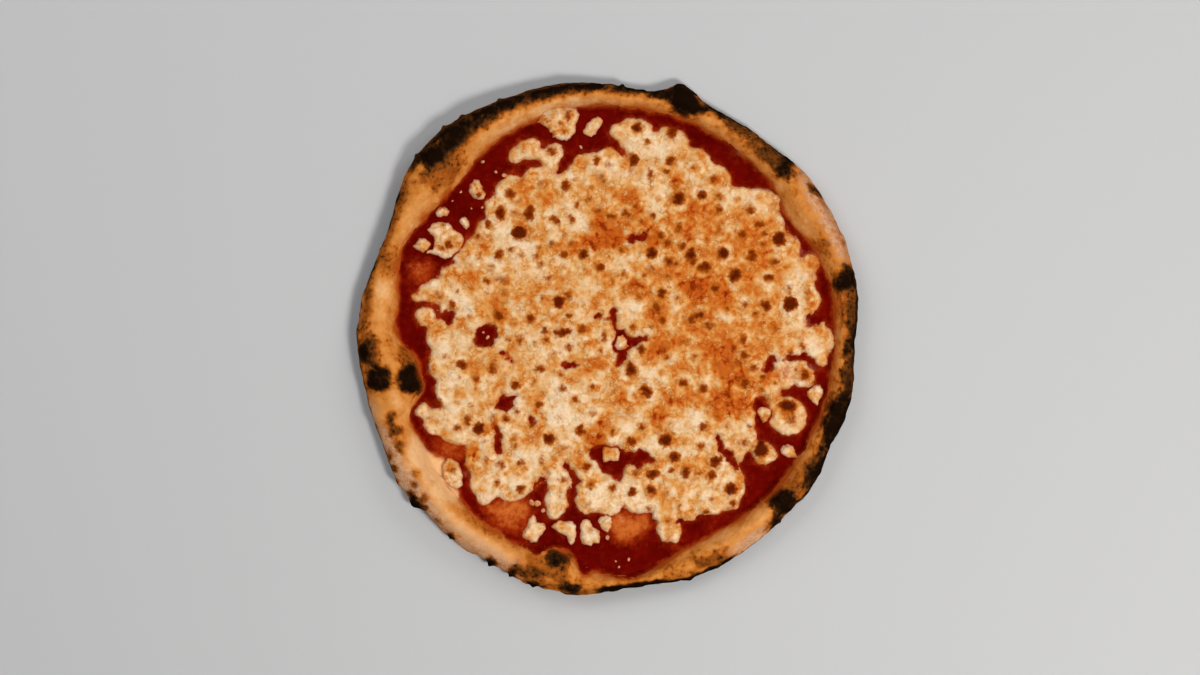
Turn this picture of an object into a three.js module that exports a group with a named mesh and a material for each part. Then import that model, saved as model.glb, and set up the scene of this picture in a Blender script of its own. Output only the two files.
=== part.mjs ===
// A margherita pizza, baked whole in a hot oven: a stretched dough with a puffed, blistered rim, tomato
// sauce spread in its well, one sheet of melted mozzarella with gaps in it, and the loose lumps of
// mozzarella that didn't run into the sheet. Millimetres and degrees, +Z up, azimuth 0 along +X.
import * as THREE from 'three';
import { mergeVertices } from 'three/addons/utils/BufferGeometryUtils.js';

// Driving dimensions of the dough.
const RIM_OUTER = 150;
const RIM_INNER = 133;
const RIM_HEIGHT = 17;
const BASE_THICKNESS = 3.5;
const WIDEST_HEIGHT = 6.5; // the rim bulges furthest out at this height above the table
const FOOT_SETBACK = 5; // the flat underside ends this far inside the widest line
const CREST = 0.52; // where the rim is highest, as a share of its width from the inside
const SLOPE_FULLNESS = 0.65; // how much of a full round the inside of the rim has, from 0 to 1
const SLOPE_ROUNDNESS = 2.4;

// Driving dimensions of the toppings.
const SAUCE_THICKNESS = 1.3;
const CHEESE_THICKNESS = 2.6;
const LUMP_THICKNESS = 3.2;
const CHEESE_LIP = 0.8; // thickness of the cheese at its very edge
const CHEESE_SLOPE = 5; // width of the rounded shoulder along that edge
const CHEESE_RIPPLE = 0.5;
const RUN_TOGETHER = 3; // how far two melting lumps flow into each other
const GAP = 0.3; // air between two pieces that lie on each other
const LUMP_CLEARANCE = 1.2; // bare sauce between a loose lump and the sheet
const RIM_CLEARANCE = 0.7; // bare dough between a topping and the foot of the rim

// How finely the curved surfaces are faceted.
const DOUGH_FACETS = 120;
const RIM_STEPS = 6;
const SHEET_FACET = 5.8;
const LUMP_FACET = 3.2;

// The middle of the whole pizza's outline, seen from the point that the places below are measured from.
const MIDDLE = new THREE.Vector2(-0.81, -2.32);

// Stretches of the rim that swell out or draw in: azimuth, half width, and the change in radius or height.
const OUTER_SWELLS = [
  { at: 25, half: 18, by: 2.6 },
  { at: 40, half: 5, by: 1.4 },
  { at: 56, half: 9, by: -1.2 },
  { at: 73, half: 4, by: 7 },
  { at: 84, half: 6, by: -1.6 },
  { at: 104, half: 12, by: 3.6 },
  { at: 130, half: 16, by: 8.8 },
  { at: 141, half: 5, by: 1 },
  { at: 157, half: 11, by: -4 },
  { at: 182, half: 9, by: 1.3 },
  { at: 216, half: 9, by: 4 },
  { at: 231, half: 9, by: 3.2 },
  { at: 255, half: 15, by: 6.8 },
  { at: 264, half: 5, by: 2 },
  { at: 293, half: 18, by: 4 },
  { at: 323, half: 7, by: 2 },
  { at: 333, half: 5, by: -2 },
  { at: 357, half: 7, by: -2.4 },
];
const INNER_SWELLS = [
  { at: 8, half: 9, by: 1.2 },
  { at: 33, half: 8, by: -6.4 },
  { at: 50, half: 9, by: -1.2 },
  { at: 72, half: 12, by: 1.6 },
  { at: 96, half: 13, by: 3.2 },
  { at: 133, half: 9, by: -5.4 },
  { at: 145, half: 9, by: -3.8 },
  { at: 173, half: 9, by: -7 },
  { at: 188, half: 6.5, by: -18 },
  { at: 196, half: 5, by: -15 },
  { at: 209, half: 8, by: -5 },
  { at: 247, half: 6, by: 2.6 },
  { at: 256.5, half: 3.5, by: -8 },
  { at: 264, half: 5, by: 2.5 },
  { at: 275, half: 10.5, by: 11.2 },
  { at: 318, half: 9, by: 1 },
  { at: 342, half: 6, by: 0.4 },
];
const HEIGHT_SWELLS = [
  { at: 0, half: 22, by: -1.5 },
  { at: 36, half: 12, by: 2.5 },
  { at: 76, half: 14, by: -3 },
  { at: 128, half: 18, by: 4 },
  { at: 165, half: 10, by: -1 },
  { at: 190, half: 12, by: 3.5 },
  { at: 222, half: 14, by: 2 },
  { at: 278, half: 18, by: -3.5 },
  { at: 327, half: 10, by: 0.8 },
];

// Where the sauce stops short of the foot of the rim.
const SAUCE_RETREATS = [{ at: 220, half: 6, by: -11 }];

// Gas blisters that stand proud of the rim: place, radius and height.
const BLISTERS = [
  [45, 141, 9, 3],
  [65, 133, 6, 1.8],
  [103, 101, 7, 2.4],
  [141, 34, 8, 2.4],
  [137, -43, 8, 2.4],
  [131, -53, 7, 2.2],
  [104, -98, 9, 2.6],
  [-22, -151, 7, 2],
  [-30, -133, 9, 4.5],
  [-138, -26, 10, 3],
  [-117, -26, 11, 6],
  [-105, 106, 8, 2],
  [-75, 131, 8, 1.6],
];

// The melted sheet: lumps that ran together, each a place and a radius. The first is the pool in the
// middle, and the rest follow its ragged edge clockwise from the top.
const SHEET_LUMPS = [
  [5, -3, 90], [-20, 76, 24], [5, 88, 10], [30, 82, 24], [-50, 66, 20], [68, 64, 26], [92, 30, 24],
  [96, -4, 20], [-76, 52, 10], [-92, 20, 8], [-74, 28, 18], [-84, -2, 16], [-82, -32, 18], [-74, -54, 18],
  [-54, -74, 20], [-6, -86, 18], [34, -84, 20], [60, -78, 18],
  [-12, 98, 12], [0, 100, 12], [5, 122, 5], [16, 120, 11], [25, 108, 14], [37, 113, 12], [50, 100, 13],
  [64, 92, 10], [80, 80, 9], [88, 76, 13], [92, 77, 11], [97, 66, 9], [104, 52, 11], [112, 38, 9],
  [118, 34, 7], [121, 22, 6], [115, 20, 12], [118, 0, 14], [127, -4, 9], [126, -14, 6], [112, -6, 12],
  [109, -20, 6], [117, -24, 7.5], [105, -28, 4.5], [95, -30, 7], [99, -38, 5], [108, -49, 11.5],
  [80, -50, 8], [80, -62, 9], [93, -71, 7.5], [76, -72, 5], [70, -90, 12.5], [73, -101, 5],
  [60, -98, 11], [46, -103, 9], [36, -118, 7.5], [33, -106, 8], [18, -98, 10], [0, -97, 11],
  [-12, -98, 9], [-31, -89, 6.5], [-31.5, -97, 6.5], [-32, -104, 6.5], [-58, -88, 12], [-73, -88, 11],
  [-74, -98, 4.5], [-76, -74, 11], [-92, -54, 12], [-104, -52, 8], [-112, -46, 4.5], [-95, -34, 10],
  [-98, -18, 10.5], [-100, -1, 10], [-110, 11, 6.5], [-99, 16, 3.5], [-116, 22, 2.5], [-110, 25, 5],
  [-103, 27, 8], [-94, 34, 8], [-85, 48, 9], [-72, 62, 8], [-66, 76, 9], [-58, 86, 10], [-42, 90, 11],
  [-35, 103, 5], [-33, 110, 5.5], [-41, 108, 4], [-48, 112, 7], [-56, 108, 5],
];

// Gaps where the sauce shows through the sheet: from one place to another, and half the width.
const SHEET_GAPS = [
  [-75, 0, -73, 0, 6.2],
  [-97, 10, -95, 10, 4.4],
  [-62, -37, -64, -42, 3.8],
  [-66, -61, -66, -69, 2.3],
  [2, 12, 4, 4, 2.6],
  [4, -3, 19, -3, 3.2],
  [7, -9, 7, -15, 3.2],
  [-9, -72, -2, -79, 3.8],
  [-2, -79, 5, -83, 4],
  [8, -75, 23, -74, 4],
  [-21, -87, -22, -97, 2.4],
  [-22, -97, -24, -112, 3.4],
  [13, 58, 20, 59, 3],
  [97, -15, 95, -21, 2.8],
  [122, 12, 132, 13, 2.8],
  [108, -14.5, 118, -13, 1.8],
  [118, -13, 126, -22, 2.4],
  [70, -70, 76, -79, 2.2],
  [-48, -102, -40, -92, 3],
];

// The loose lumps, each one or a few smaller lumps run together.
const LOOSE_LUMPS = [
  [[-37, 130, 5], [-30, 128.5, 8.5], [-25, 131, 6.5], [-27, 122, 5]],
  [[-12, 122, 3.8], [-7, 128, 3.8]],
  [[-81, 89.5, 4], [-78.5, 85, 4]],
  [[-88, 69, 2.3], [-86, 66, 2.3]],
  [[-100, 74, 4]],
  [[-97, 55, 8.3], [-103, 63, 5], [-98, 62, 5], [-103, 50.5, 3.4]],
  [[-114.5, 53.5, 3], [-111.5, 55.5, 3.6]],
  [[124, -34, 4.8], [124, -37, 4.4]],
  [[93, -47, 4], [93, -49, 3.4]],
  [[107.5, -69.5, 4.2], [110.5, -71.5, 2.6]],
  [[-95.5, -79, 5], [-93, -87, 4.8]],
  [[-45.5, -114, 5], [-45, -120, 5]],
  [[-32, -114, 2.4], [-25, -114, 4.6], [-23.5, -121.5, 3.2]],
  [[-14.5, -117, 4], [-10.5, -118, 3.6], [-12, -123, 3.6]],
  [[-1.8, -112.6, 4.6]],
  [[-0.3, -70.2, 3.8], [2.8, -70.4, 3.8], [0, -73, 3.8], [2.8, -73.2, 3.8]],
  [[7, -4.5, 3.9]],
];

const SAUCE_FLOOR = BASE_THICKNESS + GAP;
const SAUCE_TOP = SAUCE_FLOOR + SAUCE_THICKNESS;
const CHEESE_FLOOR = SAUCE_TOP + GAP;

const MATERIALS = {
  dough: new THREE.MeshStandardMaterial({ color: 0xd9924a, roughness: 0.75, metalness: 0 }),
  sauce: new THREE.MeshStandardMaterial({ color: 0x6e0c04, roughness: 0.3, metalness: 0 }),
  cheese: new THREE.MeshStandardMaterial({ color: 0xe3b077, roughness: 0.4, metalness: 0 }),
};

// ---- Shared shapes -------------------------------------------------------------------------------------

const ease = (t) => THREE.MathUtils.smoothstep(t, 0, 1);

// How high the inside of the rim has risen at a share of the way from its foot to its crest: a small
// fillet at the foot, and a full round above it.
const roundedSlope = (t) => THREE.MathUtils.lerp(ease(t), 1 - (1 - t) ** SLOPE_ROUNDNESS, SLOPE_FULLNESS);

// The sum of all swells that reach an azimuth. Each fades out like a bell.
function swell(swells, azimuth) {
  return swells.reduce((sum, { at, half, by }) => {
    const away = THREE.MathUtils.euclideanModulo(azimuth - at + 180, 360) - 180;
    return sum + by * Math.exp(-((away / half) ** 2));
  }, 0);
}

const outerRadius = (azimuth) => RIM_OUTER + swell(OUTER_SWELLS, azimuth);
const innerRadius = (azimuth) => RIM_INNER + swell(INNER_SWELLS, azimuth);
const rimHeight = (azimuth) => RIM_HEIGHT + swell(HEIGHT_SWELLS, azimuth);
const azimuthOf = (x, y) => THREE.MathUtils.radToDeg(Math.atan2(y, x));

// A solid turned about +Z from a profile of [radius, height] pairs, each vertex then moved by reshape.
function turned(profile, reshape) {
  const points = profile.map(([radius, height]) => new THREE.Vector2(radius, height));
  const geometry = new THREE.LatheGeometry(points, DOUGH_FACETS);
  geometry.rotateX(Math.PI / 2);
  geometry.deleteAttribute('normal');
  geometry.deleteAttribute('uv');
  const closed = mergeVertices(geometry);
  const place = closed.getAttribute('position');
  for (let i = 0; i < place.count; i += 1) {
    const x = place.getX(i);
    const y = place.getY(i);
    const radius = Math.hypot(x, y);
    const azimuth = azimuthOf(x, y);
    const moved = reshape(radius, place.getZ(i), azimuth);
    const share = radius > 0 ? moved.radius / radius : 0;
    place.setXYZ(i, x * share, y * share, moved.height);
  }
  closed.computeVertexNormals();
  return closed;
}

// ---- Dough ---------------------------------------------------------------------------------------------

// The dough's section at its mean sizes, from the middle of the underside round the rim to the middle of
// the top: a flat foot, a quarter ellipse up to the widest line, one over the crest, and a soft slope in.
function doughProfile() {
  const width = RIM_OUTER - RIM_INNER;
  const crestRadius = RIM_INNER + CREST * width;
  const profile = [[0, 0]];
  for (let i = 0; i <= RIM_STEPS / 2; i += 1) {
    const turn = (i / (RIM_STEPS / 2)) * (Math.PI / 2);
    profile.push([
      RIM_OUTER - FOOT_SETBACK + FOOT_SETBACK * Math.sin(turn),
      WIDEST_HEIGHT * (1 - Math.cos(turn)),
    ]);
  }
  for (let i = 1; i <= RIM_STEPS; i += 1) {
    const turn = (i / RIM_STEPS) * (Math.PI / 2);
    profile.push([
      crestRadius + (RIM_OUTER - crestRadius) * Math.cos(turn),
      WIDEST_HEIGHT + (RIM_HEIGHT - WIDEST_HEIGHT) * Math.sin(turn),
    ]);
  }
  for (let i = 1; i <= RIM_STEPS; i += 1) {
    const along = i / RIM_STEPS;
    profile.push([
      crestRadius - along * (crestRadius - RIM_INNER),
      BASE_THICKNESS + (RIM_HEIGHT - BASE_THICKNESS) * roundedSlope(1 - along),
    ]);
  }
  profile.push([0, BASE_THICKNESS]);
  return profile;
}

// Moves a point of the mean section to where the rim runs at this azimuth.
function stretched(radius, height, azimuth) {
  const inner = innerRadius(azimuth);
  const outer = outerRadius(azimuth);
  const across = (radius - RIM_INNER) / (RIM_OUTER - RIM_INNER);
  const above = (height - BASE_THICKNESS) / (RIM_HEIGHT - BASE_THICKNESS);
  return {
    radius: across <= 0 ? (radius / RIM_INNER) * inner : inner + across * (outer - inner),
    height: above <= 0 ? height : BASE_THICKNESS + above * (rimHeight(azimuth) - BASE_THICKNESS),
  };
}

// How far the blisters lift the rim at a place. The base under the toppings has none.
function blisterLift(x, y, height) {
  const onRim = ease((height - BASE_THICKNESS) / WIDEST_HEIGHT);
  return BLISTERS.reduce((lift, [cx, cy, radius, rise]) => {
    const away = Math.hypot(x - cx, y - cy) / radius;
    return lift + (away < 1 ? rise * (1 - away * away) ** 2 * onRim : 0);
  }, 0);
}

function doughGeometry() {
  return turned(doughProfile(), (radius, height, azimuth) => {
    const moved = stretched(radius, height, azimuth);
    const turn = THREE.MathUtils.degToRad(azimuth);
    moved.height += blisterLift(moved.radius * Math.cos(turn), moved.radius * Math.sin(turn), moved.height);
    return moved;
  });
}

// ---- Tomato sauce --------------------------------------------------------------------------------------

function sauceGeometry() {
  const profile = [[0, SAUCE_FLOOR], [1, SAUCE_FLOOR], [1, SAUCE_TOP], [0, SAUCE_TOP]];
  return turned(profile, (share, height, azimuth) => ({
    radius: share * (innerRadius(azimuth) - RIM_CLEARANCE + swell(SAUCE_RETREATS, azimuth)),
    height,
  }));
}

// ---- Melted cheese -------------------------------------------------------------------------------------

const runTogether = (a, b) =>
  Math.max(a, b) + Math.max(0, RUN_TOGETHER - Math.abs(a - b)) ** 2 / (4 * RUN_TOGETHER);

function toSegment(x, y, ax, ay, bx, by) {
  const along = ((x - ax) * (bx - ax) + (y - ay) * (by - ay)) / ((bx - ax) ** 2 + (by - ay) ** 2);
  const share = THREE.MathUtils.clamp(along, 0, 1);
  return Math.hypot(x - ax - share * (bx - ax), y - ay - share * (by - ay));
}

// How far inside the melted outline of some lumps a place lies. It is negative outside them, and where
// the rim of the dough begins.
function insideLumps(lumps, x, y) {
  const melted = lumps.reduce(
    (depth, [cx, cy, radius]) => runTogether(depth, radius - Math.hypot(x - cx, y - cy)),
    -Infinity,
  );
  return Math.min(melted, innerRadius(azimuthOf(x, y)) - RIM_CLEARANCE - Math.hypot(x, y));
}

// The same for the sheet, which also stays clear of its gaps and of the loose lumps.
function insideSheet(x, y) {
  const gaps = SHEET_GAPS.map(([ax, ay, bx, by, half]) => toSegment(x, y, ax, ay, bx, by) - half);
  const loose = LOOSE_LUMPS.map((lumps) => -insideLumps(lumps, x, y) - LUMP_CLEARANCE);
  return Math.min(insideLumps(SHEET_LUMPS, x, y), ...gaps, ...loose);
}

const ripple = (x, y) =>
  CHEESE_RIPPLE *
  (Math.sin(0.17 * x + 1.9 * Math.sin(0.05 * y)) * Math.sin(0.15 * y + 1.7 * Math.sin(0.06 * x)) +
    0.6 * Math.sin(0.29 * x - 0.21 * y) * Math.cos(0.13 * x + 0.31 * y));

// Clips a lattice of even triangles to the places where inside() is positive. Gives the corners, the
// triangles, and for each corner on the outline the one that follows it.
function latticeInside(inside, lumps, facet) {
  const rise = facet * Math.sin(Math.PI / 3);
  const reach = new THREE.Box2();
  lumps.forEach(([cx, cy, radius]) => {
    reach.expandByPoint(new THREE.Vector2(cx - radius - facet * 2, cy - radius - facet * 2));
    reach.expandByPoint(new THREE.Vector2(cx + radius + facet * 2, cy + radius + facet * 2));
  });
  const columns = Math.ceil((reach.max.x - reach.min.x) / facet);
  const rows = Math.ceil((reach.max.y - reach.min.y) / rise);

  const nodes = [];
  for (let j = 0; j <= rows; j += 1) {
    for (let i = 0; i <= columns; i += 1) {
      const x = reach.min.x + (i + (j % 2) / 2) * facet;
      const y = reach.min.y + j * rise;
      nodes.push({ id: nodes.length, x, y, depth: inside(x, y) });
    }
  }

  const corners = [];
  const known = new Map();
  const cornerAt = (key, x, y) => {
    if (!known.has(key)) known.set(key, corners.push({ x, y }) - 1);
    return known.get(key);
  };
  // Where the outline crosses from a node inside to one outside, kept off both ends to avoid slivers.
  const crossing = (a, b) => {
    const [low, high] = a.id < b.id ? [a, b] : [b, a];
    const share = THREE.MathUtils.lerp(0.1, 0.9, low.depth / (low.depth - high.depth));
    const x = low.x + share * (high.x - low.x);
    const y = low.y + share * (high.y - low.y);
    return cornerAt(`${low.id}-${high.id}`, x, y);
  };

  const triangles = [];
  const following = new Map();
  const clip = (nodesOfTriangle) => {
    const kept = [];
    let leaves = -1;
    let enters = -1;
    nodesOfTriangle.forEach((node, k) => {
      const next = nodesOfTriangle[(k + 1) % 3];
      if (node.depth > 0) kept.push(cornerAt(`${node.id}`, node.x, node.y));
      if (node.depth > 0 !== next.depth > 0) {
        const corner = crossing(node, next);
        kept.push(corner);
        if (node.depth > 0) leaves = corner;
        else enters = corner;
      }
    });
    for (let k = 2; k < kept.length; k += 1) triangles.push([kept[0], kept[k - 1], kept[k]]);
    if (leaves >= 0) following.set(leaves, enters);
  };
  for (let j = 0; j < rows; j += 1) {
    for (let i = 0; i < columns; i += 1) {
      const a = nodes[j * (columns + 1) + i];
      const b = nodes[j * (columns + 1) + i + 1];
      const c = nodes[(j + 1) * (columns + 1) + i];
      const d = nodes[(j + 1) * (columns + 1) + i + 1];
      (j % 2 ? [[a, b, d], [a, d, c]] : [[a, b, c], [b, d, c]]).forEach(clip);
    }
  }
  return { corners, triangles, following };
}

// Follows the outline from corner to corner. The longest loop is the outer edge, and the rest are holes.
function loopsOf(following) {
  const left = new Set(following.keys());
  const loops = [];
  while (left.size) {
    const loop = [];
    let corner = left.values().next().value;
    while (left.delete(corner)) {
      loop.push(corner);
      corner = following.get(corner);
    }
    loops.push(loop);
  }
  return loops.sort((a, b) => b.length - a.length);
}

// A melted piece of cheese: a flat underside, a thin lip round its edge, and a rounded, rippled top.
function meltedGeometry(inside, lumps, thickness, slope, facet) {
  const { corners, triangles, following } = latticeInside(inside, lumps, facet);
  const loops = loopsOf(following);
  const positions = corners.flatMap(({ x, y }) => {
    const shoulder = ease(Math.max(0, inside(x, y)) / slope);
    return [x, y, CHEESE_FLOOR + CHEESE_LIP + shoulder * (thickness - CHEESE_LIP + ripple(x, y))];
  });
  const faces = [...triangles];

  // The underside has its own corners along the outline only.
  const under = new Map();
  const edge = loops.flat();
  edge.forEach((corner) => {
    under.set(corner, positions.length / 3);
    positions.push(corners[corner].x, corners[corner].y, CHEESE_FLOOR);
  });
  edge.forEach((corner) => {
    const next = following.get(corner);
    faces.push([next, corner, under.get(corner)], [next, under.get(corner), under.get(next)]);
  });
  const placeOf = (corner) => new THREE.Vector2(corners[corner].x, corners[corner].y);
  const outlines = loops.map((loop) => loop.map(placeOf));
  const flat = outlines.flat();
  THREE.ShapeUtils.triangulateShape(outlines[0], outlines.slice(1)).forEach((face) => {
    const clockwise = THREE.ShapeUtils.area(face.map((i) => flat[i])) < 0;
    faces.push((clockwise ? face : [...face].reverse()).map((i) => under.get(edge[i])));
  });

  const geometry = new THREE.BufferGeometry();
  geometry.setAttribute('position', new THREE.Float32BufferAttribute(positions, 3));
  geometry.setIndex(faces.flat());
  geometry.computeVertexNormals();
  return geometry;
}

// ---- The pizza -----------------------------------------------------------------------------------------

const pizza = new THREE.Group();
pizza.position.set(-MIDDLE.x, -MIDDLE.y, 0);

function add(name, geometry, material) {
  const mesh = new THREE.Mesh(geometry, material);
  mesh.name = name;
  pizza.add(mesh);
}

add('dough', doughGeometry(), MATERIALS.dough);
add('tomato_sauce', sauceGeometry(), MATERIALS.sauce);
add(
  'cheese_sheet',
  meltedGeometry(insideSheet, SHEET_LUMPS, CHEESE_THICKNESS, CHEESE_SLOPE, SHEET_FACET),
  MATERIALS.cheese,
);
LOOSE_LUMPS.forEach((lumps, i) => {
  const name = `cheese_lump_${String(i + 1).padStart(2, '0')}`;
  const radius = Math.max(...lumps.map((lump) => lump[2]));
  const facet = Math.min(LUMP_FACET, radius * 0.75);
  const inside = (x, y) => insideLumps(lumps, x, y);
  add(name, meltedGeometry(inside, lumps, LUMP_THICKNESS, radius, facet), MATERIALS.cheese);
});

export default pizza;
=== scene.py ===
"""A margherita pizza, baked whole in a hot oven: a blistered crust, tomato sauce, one melted sheet of
mozzarella with gaps in it, and the loose lumps and crumbs of mozzarella beside the sheet."""
import functools
import math

import bpy
import numpy as np
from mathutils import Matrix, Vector, noise


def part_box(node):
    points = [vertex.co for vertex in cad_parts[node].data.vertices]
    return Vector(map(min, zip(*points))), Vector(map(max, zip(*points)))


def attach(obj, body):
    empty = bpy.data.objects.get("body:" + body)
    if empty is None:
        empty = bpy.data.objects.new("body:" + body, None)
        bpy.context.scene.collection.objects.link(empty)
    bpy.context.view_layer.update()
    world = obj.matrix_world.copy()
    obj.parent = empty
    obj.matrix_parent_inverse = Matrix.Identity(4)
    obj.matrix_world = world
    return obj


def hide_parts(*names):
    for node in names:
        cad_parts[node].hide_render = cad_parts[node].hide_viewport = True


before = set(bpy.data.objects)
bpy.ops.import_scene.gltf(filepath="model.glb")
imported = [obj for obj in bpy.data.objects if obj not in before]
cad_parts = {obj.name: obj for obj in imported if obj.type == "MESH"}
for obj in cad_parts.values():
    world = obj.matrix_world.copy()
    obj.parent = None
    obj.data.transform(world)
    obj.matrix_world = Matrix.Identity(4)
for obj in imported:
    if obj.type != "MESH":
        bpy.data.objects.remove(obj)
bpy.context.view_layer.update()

bl_info = {
    "name": "Margherita Pizza",
    "version": (1, 0, 0),
    "blender": (4, 5, 0),
    "location": "3D View > Sidebar > Pizza",
    "description": "Builds a baked margherita pizza piece by piece, and a stage to look at it on",
    "category": "Add Mesh",
}

MM = 0.001

# Places below are in millimetres. Adding this to a place in the frame gives the place as written below.
MIDDLE = np.array([-0.81, -2.32, 0.0])
TINY = 1e-6

# ---- The rim: azimuth, half width, and the change in radius or height ----------------------------------
OUTER_SWELLS = [
    (25, 18, 2.6), (40, 5, 1.4), (56, 9, -1.2), (73, 4, 7), (84, 6, -1.6), (104, 12, 3.6), (130, 16, 8.8),
    (141, 5, 1), (157, 11, -4), (182, 9, 1.3), (216, 9, 4), (231, 9, 3.2), (255, 15, 6.8), (264, 5, 2),
    (293, 18, 4), (323, 7, 2), (333, 5, -2), (357, 7, -2.4),
]
INNER_SWELLS = [
    (8, 9, 1.2), (33, 8, -6.4), (50, 9, -1.2), (72, 12, 1.6), (96, 13, 3.2), (133, 9, -5.4),
    (145, 9, -3.8), (173, 9, -7), (188, 6.5, -18), (196, 5, -15), (209, 8, -5), (247, 6, 2.6),
    (256.5, 3.5, -8), (264, 5, 2.5), (275, 10.5, 11.2), (318, 9, 1), (342, 6, 0.4),
]
HEIGHT_SWELLS = [
    (0, 22, -1.5), (36, 12, 2.5), (76, 14, -3), (128, 18, 4), (165, 10, -1), (190, 12, 3.5), (222, 14, 2),
    (278, 18, -3.5), (327, 10, 0.8),
]
SAUCE_RETREATS = [(220, 6, -13)]
# Where the sauce climbs higher than elsewhere, or lower.
SAUCE_CLIMBS = [(252, 1.6, 3.5), (256.6, 2.2, 2.8), (260.3, 1.3, -1.8), (264, 1.6, 3.2)]
SAUCE_REACH = 1.9
# The rim is widest at this height, and its foot is set back from there.
WIDEST_HEIGHT = 6.5
FOOT_SETBACK = 5.0
# The crest's place, as a share of the way from the well to the outer edge.
CREST = 0.52
SLOPE_FULLNESS = 0.65
SLOPE_ROUNDNESS = 2.4
# The share of the well's radius that is left undivided.
WELL_CORE = 0.82
RIM_CLEARANCE = 0.7

# Gas blisters that stand proud of the rim: place, radius and height.
BLISTERS = [
    (45, 141, 9, 3), (65, 133, 6, 1.8), (103, 101, 7, 2.4), (141, 34, 8, 2.4), (137, -43, 8, 2.4),
    (131, -53, 7, 2.2), (104, -98, 9, 2.6), (-22, -151, 7, 2), (-30, -133, 9, 4.5), (-138, -26, 10, 3),
    (-117, -26, 11, 6), (-105, 106, 8, 2), (-75, 131, 8, 1.6),
]

# What the fire left on the rim: azimuth and radius, half the width in degrees and half the depth in
# millimetres, and how strong it is.
SCORCHED = [
    (3.5, 146, 8, 5, 0.42), (13.6, 148, 2.3, 5, 0.75), (12.2, 141.8, 1.5, 4.6, 0.7),
    (23, 137.5, 2, 5, 0.16), (35, 150.6, 1.8, 1.8, 0.55), (47.5, 145, 7.3, 5, 0.42),
    (43.7, 145, 1.3, 4.2, 0.65), (58, 147, 4.2, 4, 0.36), (64, 149.8, 2.7, 2.6, 0.7),
    (72.7, 152, 2.8, 8, 0.8), (72.5, 147.5, 5.4, 3.4, 0.8), (71.8, 142.5, 2.6, 4.6, 0.78),
    (84, 148.2, 7, 2.4, 0.55), (87, 151, 0.5, 2.5, 0.7), (94.5, 149.6, 3, 2.8, 0.7),
    (103, 150, 5, 3.3, 0.76), (112.5, 150.2, 4, 2.8, 0.7), (118.6, 150.4, 2.6, 3.2, 0.74),
    (128, 151, 4.4, 4.6, 0.7), (134.8, 150.2, 2.5, 5.6, 0.84), (127, 148.4, 8, 6, 0.42),
    (108, 148.4, 17, 4.6, 0.3), (135, 140, 6, 7.5, 0.26), (146.5, 151, 1.6, 1.4, 0.55),
    (159.5, 147, 1.2, 1.4, 0.55), (164.5, 148.5, 1.6, 1.4, 0.55), (152, 145, 10, 3, 0.1),
    (161.5, 137, 4, 6.5, 0.2), (173.5, 145, 4.5, 2.8, 0.3), (183.8, 147.5, 2, 3, 0.8),
    (184, 143.5, 4.2, 5, 0.4), (190.8, 140, 2.7, 7.2, 0.82), (185.8, 121.5, 3.4, 5.6, 0.3),
    (193, 120.6, 4.1, 7.6, 0.84), (200.4, 138, 0.9, 3, 0.34), (201.9, 141.3, 0.9, 2.4, 0.36),
    (204.1, 139, 1, 3.2, 0.4), (207.3, 141.3, 1.1, 2.8, 0.38), (208.9, 149.6, 0.9, 1.6, 0.36),
    (211.8, 150.4, 0.9, 1.6, 0.36), (209.5, 141.8, 0.8, 1.5, 0.3), (215.5, 141.8, 1, 2.3, 0.3),
    (217.5, 146.2, 0.9, 1.5, 0.3), (221.6, 146.2, 1.1, 2, 0.36), (221, 153.6, 1.9, 3, 0.9),
    (238, 149, 9, 2.6, 0.1), (236.5, 138, 7, 2.2, 0.18), (232, 154, 0.7, 2.2, 0.8),
    (242.5, 154.2, 1.1, 2.8, 0.9), (247.7, 155.4, 0.9, 2.4, 0.85), (253.2, 156.5, 1.1, 2.6, 0.9),
    (252, 149.5, 4, 3.4, 0.36), (261.4, 153.5, 2.1, 3.5, 0.82), (255, 145, 4.6, 5, 0.22),
    (257.3, 136.5, 2.7, 4.4, 0.72), (295, 147, 3.5, 4, 0.34), (291, 143.5, 0.35, 6, 0.2),
    (283, 145, 13, 6, 0.07), (311.8, 149.4, 1.8, 2.6, 0.72), (316.2, 144.5, 2.7, 8, 0.84),
    (328.8, 149, 5, 3.4, 0.66), (329, 144.5, 4.6, 3.6, 0.36), (339.8, 145.5, 6.8, 5.4, 0.8),
    (338, 139.5, 1.3, 3.2, 0.6), (342.5, 140.4, 2, 3.2, 0.6), (351, 146, 6.5, 5, 0.48),
    (358.5, 146.5, 3, 3, 0.4), (323, 144, 5, 6, 0.2), (10, 139, 8, 3, 0.1), (52, 141, 8, 3, 0.12),
    (28, 144, 15, 9, 0.08), (226, 145, 22, 9, 0.05),
]
# Where it stayed pale.
PALE = [
    (30, 135.5, 5, 4, 0.1), (106, 141, 18, 6, 0.17), (149, 139, 8, 5, 0.09), (172.5, 138, 5, 4.4, 0.13),
    (197, 133, 3, 4, 0.12), (213, 134, 5, 8, 0.26), (221, 130, 7, 10, 0.3), (226, 141, 6, 6, 0.14),
    (238, 145, 10, 6, 0.14),
]
# Where flour baked onto it.
FLOURED = [
    (28.5, 149.5, 12.5, 7, 0.9), (46, 153, 5, 3, 0.5), (205, 149.5, 11, 6, 0.7),
    (216, 151.5, 14, 8.5, 0.9), (238, 151, 14, 8, 0.75), (304.5, 150.5, 6.6, 5.2, 0.9),
    (149, 151, 8, 2.6, 0.3), (172, 149, 6, 2.4, 0.4), (212, 137, 5, 4, 0.4), (358, 150.5, 4, 2.4, 0.4),
]
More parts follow.
